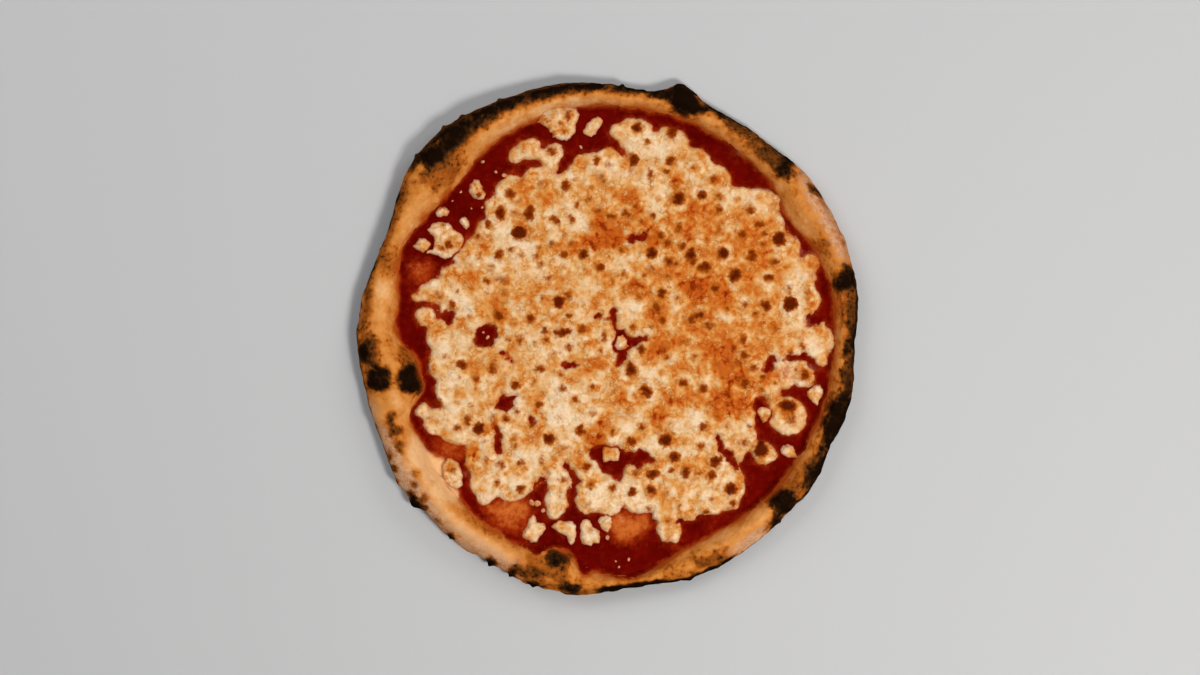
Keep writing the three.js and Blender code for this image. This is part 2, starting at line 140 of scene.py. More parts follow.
# Dark lines along the outer edge, charred dough in places and painted contact shadow where the edge meets the
# table elsewhere: azimuth, half the width in degrees, depth in millimetres, and strength.
CHAR_AND_SHADOW_LINES = [
    (116, 26, 4.4, 0.42), (180, 38, 0.6, 0.36), (275, 9, 3.6, 0.72), (291, 10, 1.9, 0.66),
    (306, 6, 0.4, 0.3), (330, 16, 1.6, 0.5), (83, 7, 1.5, 0.5), (5, 8, 1.4, 0.34), (55, 14, 1, 0.4),
]
# Charred tips that stick out at the edge: azimuth, half the width in degrees, and reach in millimetres.
TIPS = [
    (87, 0.5, 2), (115, 0.5, 1.2), (124, 0.6, 1.4), (128.5, 0.4, 1.2), (137, 0.6, 1.4), (221, 1.4, 3),
    (232, 0.35, 1.2), (242.5, 0.6, 2.2), (247.7, 0.4, 1.6), (253.2, 0.5, 1.8), (159.5, 0.5, 0.8),
    (312.5, 0.4, 1),
]
# Where the outermost crust is browned and no more: azimuth, half the width in degrees, and depth.
RIND = (116, 24, 2.4)
RIND_BAKE = 0.69
# How square the marks on the rim are (2 is an ellipse), how soft the edges of the scorched and of the pale
# ones are, and how far and how strongly the scorched ones shade off round them.
MARK_SQUARENESS = 2.4
SCORCH_SOFTNESS = 4.5
PALE_SOFTNESS = 7
HALO_WIDTH = 7
SCORCH_HALO = 0.3
# How baked the rim and the underside are on the whole, and how much more the underside's patches are.
MEAN_BAKE = 0.21
UNDERSIDE_BAKE = 0.30
UNDERSIDE_PATCHES = 0.35
BUBBLE_COUNT = 170

# ---- The cheese: where lumps of it melted (place and radius), and what keeps them apart ----------------
SHEET_LUMPS = [
    (5, -3, 90), (-20, 76, 24), (5, 88, 10), (30, 82, 24), (-50, 66, 20), (68, 64, 26), (92, 30, 24),
    (96, -4, 20), (-76, 52, 10), (-92, 20, 8), (-74, 28, 18), (-84, -2, 16), (-82, -32, 18),
    (-74, -54, 18), (-54, -74, 20), (-6, -86, 18), (34, -84, 20), (60, -78, 18), (-12, 98, 12),
    (0, 100, 12), (5, 122, 5), (16, 120, 11), (25, 108, 14), (37, 113, 12), (50, 100, 13), (64, 92, 10),
    (80, 80, 9), (88, 76, 13), (92, 77, 11), (97, 66, 9), (104, 52, 11), (112, 38, 9), (118, 34, 7),
    (121.5, 43.5, 5.5), (121, 22, 6), (115, 20, 12), (118, 0, 14), (127, -4, 9), (126, -14, 6),
    (112, -6, 12), (109, -20, 6), (117, -24, 7.5), (105, -28, 4.5), (95, -30, 7), (99, -38, 5),
    (108, -49, 11.5), (80, -50, 8), (80, -62, 9), (93, -71, 7.5), (76, -72, 5), (70, -90, 12.5),
    (73, -101, 5), (60, -98, 11), (46, -103, 9), (36, -118, 7.5), (33, -106, 8), (18, -98, 10),
    (0, -97, 11), (-12, -98, 9), (-31, -89, 6.5), (-31.5, -97, 6.5), (-32, -104, 6.5), (-58, -88, 12),
    (-73, -88, 11), (-74, -98, 4.5), (-76, -74, 11), (-92, -54, 12), (-104, -52, 8), (-112, -46, 4.5),
    (-95, -34, 10), (-98, -18, 10.5), (-100, -1, 10), (-110, 11, 6.5), (-99, 16, 3.5), (-116, 22, 2.5),
    (-110, 25, 5), (-103, 27, 8), (-94, 34, 8), (-85, 48, 9), (-72, 62, 8), (-66, 76, 9), (-58, 86, 10),
    (-42, 90, 11), (-35, 103, 5), (-33, 110, 5.5), (-41, 108, 4), (-48, 112, 7), (-56, 108, 5),
]
# Gaps in the sheet: from one place to another, and half the width.
SHEET_GAPS = [
    (-75, 0, -73, 0, 6.2), (-97, 10.5, -95, 10.5, 3.6), (13, 57.5, 15, 58, 2.4), (15, 58, 21, 60, 1.8),
    (97, -15, 95, -21, 2.8), (121, 9, 130, 12, 3.6), (108, -14.5, 118, -13, 1.8),
    (118, -13, 126, -22, 2.4), (70, -70, 76, -79, 2.2), (-48, -102, -40, -92, 3),
    (-40, -87, -45, -91, 1.2), (65, -62, 68, -69, 1.8), (-48, -50, -45, -53, 1.1),
    (-27, -18, -21, -18, 1.5), (-64, -10, -58, -17, 0.9), (41, -113, 43, -112, 1.8),
    (-8, 11, -6, 12, 1.2),
]
# The larger gaps, by their outlines.
OUTLINED_GAPS = [
    [(-12.5, -71), (-9, -67.5), (-4, -67), (6.2, -69), (9, -69), (10.5, -71), (15, -70.5), (18, -68.5),
     (22, -69.5), (24.5, -73), (27.5, -76), (25, -78), (20.5, -77.5), (19.5, -79.5), (17.5, -79), (15.5, -77),
     (11, -77), (9, -81), (6.5, -87), (3.5, -85.5), (-1, -83), (-4, -82.5), (-6.5, -80), (-8, -76.5),
     (-12, -74)],
    [(2.2, 16), (5, 15.5), (4.7, 12), (4.5, 8), (5, 3), (8.5, 3), (10.5, 1), (13, -1.2), (20, -1.4),
     (21.5, 0.3), (23, -3.5), (22, -4.5), (18, -4.4), (15.5, -6), (13, -8.5), (11.5, -10.5), (11, -13.5),
     (8.5, -15.5), (6, -19), (4, -18.5), (4.5, -14), (5, -10.5), (2.2, -8.5), (2, -5), (3.3, -2), (3, 3),
     (2.5, 6), (0, 8.5), (-2.5, 9.7), (0.3, 11), (0.8, 14)],
    [(-26, -75.5), (-25, -78.5), (-22.5, -82), (-20, -84.8), (-17, -87), (-19.5, -89.5), (-20, -97),
     (-20.2, -104), (-19.5, -109), (-17.5, -114), (-27, -114), (-27, -110), (-25.5, -106), (-25, -100),
     (-24, -95), (-22.5, -91), (-22.6, -86), (-25.4, -82), (-29.3, -79.3), (-28, -76.5)],
    [(-65, -34), (-61, -36), (-55.5, -36.3), (-58, -39), (-58.3, -44), (-62.5, -45.5), (-68.3, -43.5),
     (-65.7, -39)],
    [(-71.5, -53.5), (-67, -55), (-64, -59.5), (-64.6, -65), (-64, -70), (-67.7, -71.4), (-69.6, -65),
     (-68, -59)],
]
# The loose lumps, by their outlines.
LOOSE_LUMPS = [
    [(-43, 128), (-38, 125.5), (-34.5, 121), (-34, 118), (-31.5, 118.4), (-28, 116.7), (-23, 118),
     (-20, 122), (-19, 129), (-17.6, 132.5), (-19.5, 135.8), (-25, 136.8), (-33, 136.2), (-38, 135.5),
     (-41, 131)],
    [(-15.6, 122.5), (-14.5, 120), (-11, 118.7), (-9, 119.6), (-7, 123), (-4.5, 126.5), (-3.3, 129),
     (-4.3, 131), (-7, 131.5), (-10, 130.2), (-13.5, 126.5)],
    [(-84.5, 87.5), (-83.5, 90.5), (-81, 93), (-78.5, 93.2), (-76.8, 91), (-76, 88), (-74.2, 84.5),
     (-75, 82), (-78.5, 81.2), (-81.5, 82.5), (-84, 85)],
    [(-89.8, 69.5), (-88, 71.2), (-86, 71), (-84.4, 68.5), (-83.8, 65.5), (-85.5, 63.2), (-87.2, 64.8),
     (-89.4, 67)],
    [(-104, 74.5), (-102, 77.4), (-99.5, 77.5), (-96, 74.5), (-97, 72.3), (-99.5, 71.5), (-101, 70.2),
     (-103.4, 71.3)],
    [(-109, 62.5), (-106.5, 67), (-102, 68), (-97, 68), (-93.5, 63.5), (-88.5, 60.5), (-87.3, 57.5),
     (-88, 54.5), (-90.5, 50.5), (-94.5, 46.8), (-98, 45.6), (-101.5, 46.8), (-104, 48.2), (-109.5, 48.6),
     (-109.5, 50.4), (-105.6, 51.5), (-105.6, 54.5), (-104.6, 57), (-106, 60)],
    [(-118, 53), (-116, 55.5), (-113.5, 58.5), (-111.5, 59), (-109.5, 57.5), (-107, 54.2), (-108.8, 51.7),
     (-111.5, 49.8), (-114.5, 50.8)],
    [(118.4, -34.6), (120.5, -32), (123.5, -30), (126.5, -29.8), (128.5, -32), (128.8, -35.5),
     (127, -39.5), (124.8, -42.3), (122.8, -41.2), (120.5, -38.5)],
    [(89, -46), (90.5, -43.6), (93.5, -43.3), (96.3, -44.5), (97.6, -47), (96.5, -50), (94.5, -52.8),
     (92.5, -53), (91.2, -50.5)],
    [(102.8, -69.2), (104.5, -66.5), (107.5, -65.3), (110, -66.3), (111.5, -69), (113.7, -73.2),
     (112, -74.3), (107.5, -73.8), (104.5, -72)],
    [(-97, -74), (-94, -74), (-91, -76.5), (-88.6, -80), (-87.8, -85), (-88.2, -90), (-91, -92.5),
     (-95, -91.5), (-98.5, -88), (-100, -83.5), (-99.8, -78)],
    [(-46, -107.5), (-44, -109.5), (-43, -112.5), (-39, -113), (-38, -116), (-39.5, -119), (-42, -121),
     (-43.5, -124.5), (-47.5, -124.6), (-51.8, -121.5), (-52.3, -118), (-50, -115.5), (-48.5, -111)],
    [(-34.8, -114.8), (-31, -112), (-27, -111.2), (-22, -112.2), (-19.8, -114.5), (-19.4, -120.8),
     (-20.6, -122.8), (-22.8, -126.7), (-24.6, -124.5), (-26, -121.5), (-30, -118.8)],
    [(-16, -111), (-13.5, -110.5), (-11, -112.5), (-9.5, -115.5), (-5.5, -118), (-4.8, -121.5),
     (-6, -125), (-9.5, -125), (-11.3, -127.6), (-16, -125.8), (-18, -122), (-17.5, -118.5), (-17.5, -114.5)],
    [(-7, -112), (-4.5, -108.5), (-1.5, -108.2), (1.5, -110), (2, -112.8), (0.5, -116.5), (-0.8, -119),
     (-3, -118), (-5.5, -115.5)],
    [(-3.8, -70), (-3.4, -67.4), (5, -67.4), (6.2, -70), (6, -75), (2, -75.8), (-3.6, -76.7)],
    [(3.8, -4.5), (5, -1), (8, 0.2), (10.5, -2.5), (11.3, -6.5), (9, -8.7), (5.5, -8.7), (3.6, -7)],
]
# Crumbs of cheese in the sauce: place and radius.
CRUMBS = [
    (-76, 104, 1.4), (-68, 98, 1.0), (-63, 96, 1.5), (6, 136.3, 1.2), (-17, 113, 1.1), (12, -135, 1.1),
    (6, -139.5, 0.8), (4, -136, 0.7), (-89, 86, 0.9), (-46.4, -100.8, 2.1), (-43, -101.3, 2.1),
    (-73, -1.5, 1.3), (-75.5, 1.5, 0.8), (-0.9, -121.8, 1.5), (-39.5, -105.5, 1.4), (-94.2, 80.5, 0.7),
    (-82.7, 76, 0.6), (-76.2, 76.6, 0.8),
]
# Films of cheese that melted over the sauce: place, radius and strength.
FILMS = [
    (124, 48, 5, 0.8), (116, 48, 4, 0.6), (78, 110, 4, 0.5), (-114, 38, 7, 0.2), (-110, 42, 5, 0.2),
    (-119, 42, 4, 0.3), (-99, 88, 3, 0.3), (-62, -104, 5, 0.3), (8, -111, 4, 0.5), (117, 8, 6, 0.6),
    (104, -16, 5, 0.6), (122, -20, 4, 0.6), (-86, -84, 4, 0.4), (96, 62, 4, 0.4),
]
# Over how many millimetres lumps that touch run together, and a topping rises onto the crust.
RUN_TOGETHER = 3.0
RISE_ONTO_CRUST = 2.4
# How far in from its edge the sauce, and from the rim the cheese, is fitted to the crust.
SAUCE_EDGE_BAND = 9
CHEESE_RIM_BAND = 1.5
# The gap between the sheet and the loose lumps, and how deep all cheese sinks into the sauce.
LUMP_CLEARANCE = 0.8
CHEESE_SINK = 0.6
# How far up the slope of the rim the sheet and the loose lumps may climb.
SHEET_CLIMB = 2.5
LUMP_CLIMB = 5
# How rounded the edge of melted cheese is.
EDGE_ROUNDNESS = 1.7
# Deeper than any outline is wide, and higher than the whole pizza.
FAR_OUTSIDE = -100.0
FAR_ABOVE = 60.0

# Bubbles that browned in the fire: place, and half width across x and y.
BROWN_SPOTS = [
    (-65, 74, 2.7, 3.4), (-72, 66, 1.9, 2.3), (-54, 61.5, 3.7, 3.7), (-59.5, 85, 2.8, 2.4),
    (-96, 54.5, 2.6, 2.6), (-29, 127, 1.6, 1.6), (-24.5, 131.5, 1.9, 3.4), (-27, 122, 2, 1.8),
    (-34, 110, 2.4, 2.4), (17, 124.5, 2.4, 2.4), (37.5, 121, 2.3, 3.2), (23, 116, 1.8, 1.8),
    (15, 106, 2.7, 3.3), (37, 105, 2.3, 2.3), (35, 98, 1.8, 1.8), (25, 96, 1.5, 3.4), (-7, 105, 2, 2),
    (-26, 89.5, 2.2, 3.2), (42, 82, 3.3, 3.3), (-48, 72, 3, 3.6), (-33, 69.5, 2.2, 2), (-6, 74, 2, 1.8),
    (2, 71, 3, 1.6), (10, 73, 2.4, 2.4), (16, 77, 2, 2), (31, 60, 2, 2), (42, 64, 2, 3.4),
    (26, 72, 1.8, 1.8), (20, 68, 1.5, 1.5), (63, 93, 2.4, 2.4), (56, 84, 2.4, 2.4), (66, 83, 2, 2),
    (66, 75, 2, 3), (68, 67, 1.5, 1.5), (66, 63, 1.5, 2.8), (90, 66.5, 3, 2), (93, 61, 1.8, 1.8),
    (80, 60, 2.4, 2.4), (85, 75, 2.4, 2.4), (102, 57, 3.3, 3.3), (43.5, 53, 2, 2), (35, 55, 1.8, 1.8),
    (8, 51, 2, 2), (-66, 48, 2.3, 3), (-73, 32.5, 2, 1.8), (-63, 32.5, 2.6, 1.5), (-66, 11.5, 2.4, 3),
    (-54, -3, 2, 2.6), (-70, -20.5, 2.4, 3.4), (-87.5, -18, 2.2, 2), (-79.5, -26.5, 2, 2),
    (-56, -30, 2.8, 2.4), (-85, -51, 2.4, 2.4), (-62, -50.5, 1.9, 1.7), (-55, -46, 1.7, 2),
    (-15.5, 48.5, 2.4, 2.8), (-27, 48.5, 2.1, 2.2), (-44, 47, 1.8, 2), (-5.5, 40.5, 2.2, 2),
    (-37, 34, 2.8, 1.3), (-30, 20, 3.4, 3.2), (-47, 9.5, 2.3, 2.6), (-38, 2.5, 2, 2),
    (-28.5, 1.5, 3.5, 2.6), (-16, 3, 2.4, 2.2), (-37.5, -3, 1.7, 1.7), (-24, -7, 1.7, 2.2),
    (-2.5, -2, 1.8, 2.8), (-41, -20.5, 2.5, 1.9), (-28.5, -32, 2, 1.9), (-20, -38.5, 2.2, 2),
    (-42, -41.5, 2.4, 1.8), (19.5, -8.5, 2.4, 2.6), (13.5, -21, 2.9, 3.4), (22, -33, 2.8, 3.2),
    (45, -29, 3, 2), (25.5, 49, 2.8, 2.8), (40.3, 43, 1.7, 1.7), (36, 44, 2.2, 2.2), (49, 48, 3.2, 3.2),
    (50.5, 44, 2, 2), (32, 26, 2.3, 2.3), (28.5, 16.5, 2, 2), (32, 9, 2, 2), (49, 9, 2.4, 2.4),
    (64, 28, 2, 2), (41, 22, 1.5, 1.5), (68.5, 49, 3.1, 3.1), (86, 47, 2.9, 2.9), (58, 41, 2.8, 2.8),
    (76, 36, 2.8, 3.8), (99, 44, 2.4, 1.6), (96, 34.5, 3, 2), (109, 18.5, 4, 4.2), (95, 18, 2, 3.3),
    (119.5, 25, 1.5, 3.6), (55, 12, 2.4, 2.4), (60.5, 5, 2.8, 2), (71, 16, 1.5, 1.5), (82, 18, 2, 2),
    (88, 12, 1.5, 1.5), (80, -3, 2, 2), (116.5, -7, 2, 2), (81.5, -12, 2.4, 2.2), (87, -20, 2, 2.2),
    (81, -29, 3.2, 2.4), (56.5, -32, 2.6, 2.2), (118, -24, 2.8, 3.4), (107.5, -42.5, 5.4, 3.2),
    (-78, -56, 3.2, 3.3), (-91, -55.5, 1.8, 1.8), (-65, -77.5, 2.6, 1.9), (-52.5, -77, 2.3, 2.2),
    (-67.5, -88, 2, 2), (-53, -92.5, 2.4, 2.4), (-17.5, -58, 2.7, 2.3), (-36, -62.5, 2.8, 3),
    (19.5, -55, 1.9, 2), (34, -63, 3.3, 3.6), (14, -64, 2.3, 2.3), (39.5, -73, 2.8, 2.6),
    (46, -82.5, 2.6, 3.2), (26.5, -83, 3.3, 2.3), (-13.5, -79, 2.3, 2.3), (-27.5, -87.5, 2.4, 1.5),
    (-11, -90, 1.7, 2.3), (2, -92, 2, 2), (14, -94, 2.3, 2.3), (25, -93, 2.5, 2.5), (35, -94.5, 1.5, 1.5),
    (36, -121, 1.5, 2.2), (42, -103, 1.5, 2.8), (57, -55, 2.8, 2.2), (55.5, -66.5, 2.8, 1.8),
    (64, -76, 3.2, 3.2), (73, -92.5, 3.4, 3.4), (74, -101, 1.9, 1.9), (61, -85, 2.2, 2.2),
    (59, -106.5, 2, 2), (91.5, -69, 3.8, 4.4),
]
# Bubbles that only turned tan.
TAN_SPOTS = [
    (-39, 91, 3, 2), (-12, 82, 2, 2), (-56, 73, 2.4, 1.6), (-22, 69, 2, 2), (-26, 60.5, 2, 1.6),
    (-34, 55, 2, 2), (-42, 52, 1.8, 1.8), (-41, 42, 2, 2), (-103, 25, 2.4, 2.4), (-24.5, 24, 2.4, 3),
    (-40, 22, 1.5, 3), (14, 5, 2.4, 2.4), (26, 40, 2.2, 2.2), (-57, 7, 2.2, 1.5), (-33, -11, 2, 1.8),
    (-45.5, -29.5, 1.3, 1.8), (-57, -62, 1.9, 2.4), (-57, -67, 1.8, 1.8), (-73.5, -76, 1.6, 3),
    (-40.5, -75, 1, 2.4), (-30, -49.5, 2.2, 1.6), (-9.5, -47, 1.8, 1.4), (-4, -19, 2.2, 1.6),
    (-27, -67.5, 3, 1.2), (16, -83, 2.6, 2.6), (12, -45.5, 1.5, 2.2), (82, -64, 2.4, 2.6),
    (54, -83, 2.4, 2.4), (15.5, -36, 1.5, 1.5), (-37.5, -81, 2, 1.8), (-51, -80, 1.8, 1.5),
    (110, -51, 3.2, 2.6), (105.5, -47.5, 2.6, 1.6), (-100, 52, 2, 2), (-94, -81, 2, 2),
    (-45, -28, 1.4, 1.4), (35, 36, 2, 2), (-78, 46.5, 2.2, 2), (-70.5, 41, 2, 2), (-62.5, 26, 1.5, 2.2),
    (-82, -64, 1.6, 1.3), (-105, -20, 1.8, 1.8), (100, 4, 2.6, 2), (-107, -50, 2, 1.6),
    (46, -4, 2.4, 1.4), (28, -7, 1.6, 1.6), (34, -6, 2.4, 1.8),
]
# The lesser bubbles: how many, how far from any other, and where the cheese that they are spread over lies.
SPOT_COUNT = 140
SPOT_SPACING = 6.2
SPREAD_X = (-115, 130)
SPREAD_Y = (-120, 125)
# The least and the most that a listed bubble has browned.
LEAST_BROWNED = 0.32
MOST_BROWNED = 0.95
CHEESE_NAME = "melted_mozzarella"
# How golden cheese is where nothing tells, and the most that fat alone can do.
MEAN_RICHNESS = 0.385
MOST_OILED = 0.8

# Where fat pooled and the cheese turned orange: place, radius and strength.
OILED = [
    (-48, 86, 8, 0.5), (-5, 67, 10, 0.9), (-4, 57, 9, 1.0), (-16, 58, 6, 0.7), (-85, 37, 7, 0.7),
    (-76, 51, 5, 0.5), (-72, 56, 4, 0.5), (-66, 13, 7, 0.6), (-56, 31, 10, 0.25), (-45, 25, 6, 0.35),
    (-36, 13, 8, 0.3), (-10, 15, 7, 0.4), (-88, 5, 6, 0.5), (-67, -35, 8, 0.35), (-80, -12, 10, 0.3),
    (-65, -15, 6, 0.4), (-84, -78, 7, 1.0), (-84, -70, 6, 0.8), (-5, -60, 8, 0.9), (-8, -66, 6, 0.8),
    (-15, -74, 6, 0.6), (-45, -59, 6, 0.8), (-11, -18, 7, 0.5), (-70, -55, 4, 0.7), (-3, -54, 5, 0.6),
    (-10, -6, 4, 0.5), (28, -5, 7, 0.9), (33, -8, 6, 0.9), (45, -4, 6, 0.6), (60, -8, 7, 0.7),
    (74, -12, 9, 0.7), (77, -22, 9, 0.8), (67, -18, 6, 0.7), (45, -37, 10, 0.45), (35, -44, 8, 0.7),
    (31, -50, 6, 0.7), (64, -42, 9, 0.85), (75, -43, 9, 0.6), (85, -38, 7, 0.8), (38, -62, 4, 0.5),
    (25, -16, 5, 0.5), (5, -36, 7, 0.4), (8, -40, 6, 0.35), (45, 33, 13, 0.7), (53, 28, 9, 0.7),
    (52, 76, 8, 0.6), (55, 20, 8, 0.6), (70, 24, 9, 0.6), (82, 35, 9, 0.6), (5, 55, 9, 0.8),
    (0, 62, 8, 0.8), (35, 70, 8, 0.6), (15, 77, 8, 0.5), (24, 60, 9, 0.7), (14, 31, 5, 0.8),
    (20, 26, 5, 0.8), (28, 18, 6, 0.8), (33, 8, 6, 0.8), (90, 40, 9, 0.4), (76, 60, 8, 0.4),
    (62, 58, 7, 0.4), (100, 10, 8, 0.4), (48, 56, 8, 0.5), (-34, 84, 7, 0.3), (20, 40, 7, 0.5),
    (70, 5, 9, 0.5), (90, -8, 7, 0.5), (40, 92, 6, 0.3), (-95, -62, 6, 0.5), (95, 55, 7, 0.4),
    (-100, 8, 5, 0.4), (55, -15, 8, 0.6), (95, -25, 6, 0.6),
]
# Where it stayed thick and pale, and small bright dots that are painted highlights of wet cheese.
PALE_AND_GLINT_PATCHES = [
    (-55, 50, 11, 0.7), (-16, 67, 6, 0.8), (-30, 77, 8, 0.5), (-17, 17, 6, 0.7), (-7, 27, 4, 1.0),
    (-85, 19, 5, 0.8), (-43, 23, 3, 0.8), (-56, 14, 4, 0.7), (-88, 42, 5, 0.5), (-34, 25, 4, 0.6),
    (-30, -40, 10, 0.9), (-24, -48, 8, 0.8), (-10, -52, 4, 0.6), (-27, -12, 3, 0.9), (-45, -15, 6, 0.5),
    (-54, -72, 6, 0.6), (-54, -85, 7, 0.7), (-72, -84, 6, 0.7), (-85, -44, 5, 0.7), (-79, -66, 5, 0.5),
    (-58, -34, 4, 0.4), (42, -12, 5, 0.8), (50, -46, 7, 1.0), (54, -49, 5, 0.9), (48, -70, 4, 1.0),
    (68, -86, 6, 0.9), (60, -25, 3, 0.9), (55, -60, 6, 0.6), (11, -56, 5, 0.9), (14, -32, 3, 0.9),
    (3, -45, 4, 0.9), (5, -64, 3, 0.7), (27, -65, 5, 0.7), (36, -80, 5, 0.8), (45, -58, 5, 0.6),
    (84, -12, 4, 0.9), (57, -3, 3.5, 0.8), (26, -25, 8, 0.5), (38, -45, 3, 0.6), (24, -44, 4, 0.6),
    (78, -52, 4, 0.7), (30, 83, 9, 0.7), (85, 83, 8, 0.6), (5, 45, 6, 0.6), (17, 45, 5, 0.6),
    (10, 13, 6, 0.6), (17, 17, 5, 0.6), (5, 27, 4, 0.5), (65, 53, 6, 0.5), (26, 112, 9, 0.7),
    (12, 114, 6, 0.6), (40, 112, 6, 0.5), (34, 92, 5, 0.5), (-94, -50, 8, 0.6), (-104, -52, 6, 0.5),
    (-98, -18, 7, 0.5), (-98, -35, 6, 0.5), (-20, 90, 6, 0.4), (0, 98, 7, 0.5), (112, 34, 8, 0.9),
    (112, 6, 9, 0.8), (124, -8, 7, 1.0), (108, 20, 7, 0.8), (109, -22, 9, 0.9), (-2, -96, 8, 0.8),
    (-97, -4, 7, 0.6), (-104, 27, 6, 0.6), (-64, 62, 5, 0.4), (-70, 78, 5, 0.4), (46, 10, 4, 0.4),
    (10, -98, 7, 0.9), (24, -100, 6, 0.6), (50, -95, 7, 0.6), (60, -100, 6, 0.6), (-32, -100, 5, 0.6),
    (72, 10, 3, 0.8), (67, 11, 2.5, 0.8), (11, 61, 2, 0.9), (32, 65, 2.5, 0.9), (43, 67, 2, 0.8),
]
# Where it is so thin that the sauce shows through: place, radius and strength.
VEILS = [
    (109, -22, 8, 0.9), (117, -2, 6, 0.5), (113, 12, 5, 0.4), (122, 36, 4, 0.6), (112, 30, 5, 0.3),
    (104, -12, 5, 0.5), (119, -22, 5, 0.5), (-45, -62, 8, 0.45), (-60, -50, 6, 0.4), (-20, -17, 6, 0.5),
    (-31, -98, 7, 0.4), (-110, 15, 5, 0.4), (-104, 22, 5, 0.3), (-3, -12, 5, 0.5), (1, 14, 5, 0.5),
    (-75, 60, 5, 0.4), (-66, 88, 5, 0.3), (-20, 84, 5, 0.3), (60, -62, 5, 0.4), (78, -66, 5, 0.5),
    (-88, -40, 5, 0.3), (-72, -92, 5, 0.3), (10, 105, 6, 0.3), (50, -88, 5, 0.3), (-40, 84, 5, 0.3),
]
# Sauce thinned with fat: place, radius and strength.
ORANGE_SAUCE = [
    (-62, -108, 9, 1.4), (-70, -103, 6, 0.8), (-54, -104, 7, 1.3), (-52, -116, 5, 0.5), (6, -113, 7, 1.5),
    (14, -116, 7, 1.6), (20, -112, 6, 1.1), (8, -120, 5, 0.9), (-114, 36, 6, 0.8), (-110, 40, 6, 0.6),
    (-118, 42, 4, 0.5), (-100, -66, 8, 0.7), (-92, -70, 7, 0.8), (-87, -84, 3, 0.4), (-58, 97, 5, 0.4),
    (-109, 8, 5, 0.4), (-103, -44, 5, 0.4), (-50, -125, 6, 0.3), (75, 108, 5, 0.2), (40, -125, 5, 0.3),
    (99, -45, 4, 0.3), (-28, -118, 4, 0.4), (-68, -68, 3, 0.3), (62, -116, 5, 0.2),
]

# ---- How finely the surfaces are divided ---------------------------------------------------------------
FOOT_STEPS = 6
FLANK_STEPS = 12
CREST_STEPS = 22
SLOPE_STEPS = 30
BASE_STEPS = 5
TURN_STEPS = 900
SAUCE_CELL = 1.0
SHEET_CELL = 0.72
LUMP_CELL = 0.5
# Room round an outline in the lattice that it is cut from.
CUT_MARGIN = 3
SAUCE_MARGIN = 16
SMOOTH_ANGLE = math.radians(60)

# ---- The stage -----------------------------------------------------------------------------------------
# Azimuth, elevation, distance and size.
KEY_PLACE = (-40, 55, 1.7, 0.36)
CAMERA_HEIGHT = 1.7
CAMERA_LENS = 85
CAMERA_SENSOR = 36
CAMERA_AIM = Vector((-4.59, 0.82, 8.0)) * MM


# ---- Shared shapes -------------------------------------------------------------------------------------

def ease(share):
    """A soft step from 0 to 1."""
    share = np.clip(share, 0, 1)
    return share * share * (3 - 2 * share)


def mix(a, b, share):
    return a + (b - a) * share


def azimuth_of(x, y):
    return np.degrees(np.arctan2(y, x))


def turned_away(azimuth, at):
    """Degrees from one azimuth to another, from -180 to 180."""
    return (azimuth - at + 180) % 360 - 180


def swell(swells, azimuth):
    return sum(by * np.exp(-((turned_away(azimuth, at) / half) ** 2)) for at, half, by in swells)


def outer_radius(azimuth):
    return bpy.context.scene.pizza_crust.outer_radius / MM + swell(OUTER_SWELLS, azimuth)


def inner_radius(azimuth):
    return bpy.context.scene.pizza_crust.inner_radius / MM + swell(INNER_SWELLS, azimuth)


def sauce_radius(azimuth):
    """The sauce runs a little way up the slope of the rim, and falls short of it here and there."""
    return inner_radius(azimuth) + SAUCE_REACH + swell(SAUCE_RETREATS + SAUCE_CLIMBS, azimuth)


def rim_height(azimuth):
    return bpy.context.scene.pizza_crust.rim_height / MM + swell(HEIGHT_SWELLS, azimuth)


def rough(places, size, octaves, seed):
    """Noise from about -1 to 1 at each place. Its largest lumps are about `size` across."""
    shift = Vector((13.7, 7.9, 3.1)) * seed
    return np.array([noise.fractal(Vector(p) / size + shift, 1.0, 2.0, octaves) for p in places])


def rough_flat(x, y, size, octaves, seed):
    """The same noise over the flat."""
    return rough(np.stack([x, y, np.zeros_like(x)], axis=1), size, octaves, seed)


def bumps(places, spots):
    """The sum of soft round bumps, each a place, radius and height."""
    total = np.zeros(len(places))
    for x, y, radius, height in spots:
        away = ((places[:, 0] - x) ** 2 + (places[:, 1] - y) ** 2) / radius ** 2
        total += height * np.exp(-away)
    return total


# ---- Work on meshes ------------------------------------------------------------------------------------

def corners_of(piece):
    """The piece's corners in millimetres, as the places above are written."""
    places = np.empty(len(piece.data.vertices) * 3)
    piece.data.vertices.foreach_get("co", places)
    return places.reshape(-1, 3) / MM + MIDDLE


def move_corners(piece, places):
    piece.data.vertices.foreach_set("co", ((places - MIDDLE) * MM).ravel())
    piece.data.update()


def normals_of(piece):
    normals = np.empty(len(piece.data.vertices) * 3)
    piece.data.vertices.foreach_get("normal", normals)
    return normals.reshape(-1, 3)


def edges_of(piece):
    ends = np.empty(len(piece.data.edges) * 2, int)
    piece.data.edges.foreach_get("vertices", ends)
    return ends.reshape(-1, 2)


def open_edges(piece):
    """Which edges have a face on one side alone."""
    used = np.empty(len(piece.data.loops), int)
    piece.data.loops.foreach_get("edge_index", used)
    return np.bincount(used, minlength=len(piece.data.edges)) == 1


def paint(piece, **layers):
    """Keeps one number for each corner under each name, for the materials to read."""
    for name, values in layers.items():
        layer = piece.data.attributes.new(name, "FLOAT", "POINT")
        layer.data.foreach_set("value", np.clip(values, 0, 1).astype(np.float32))


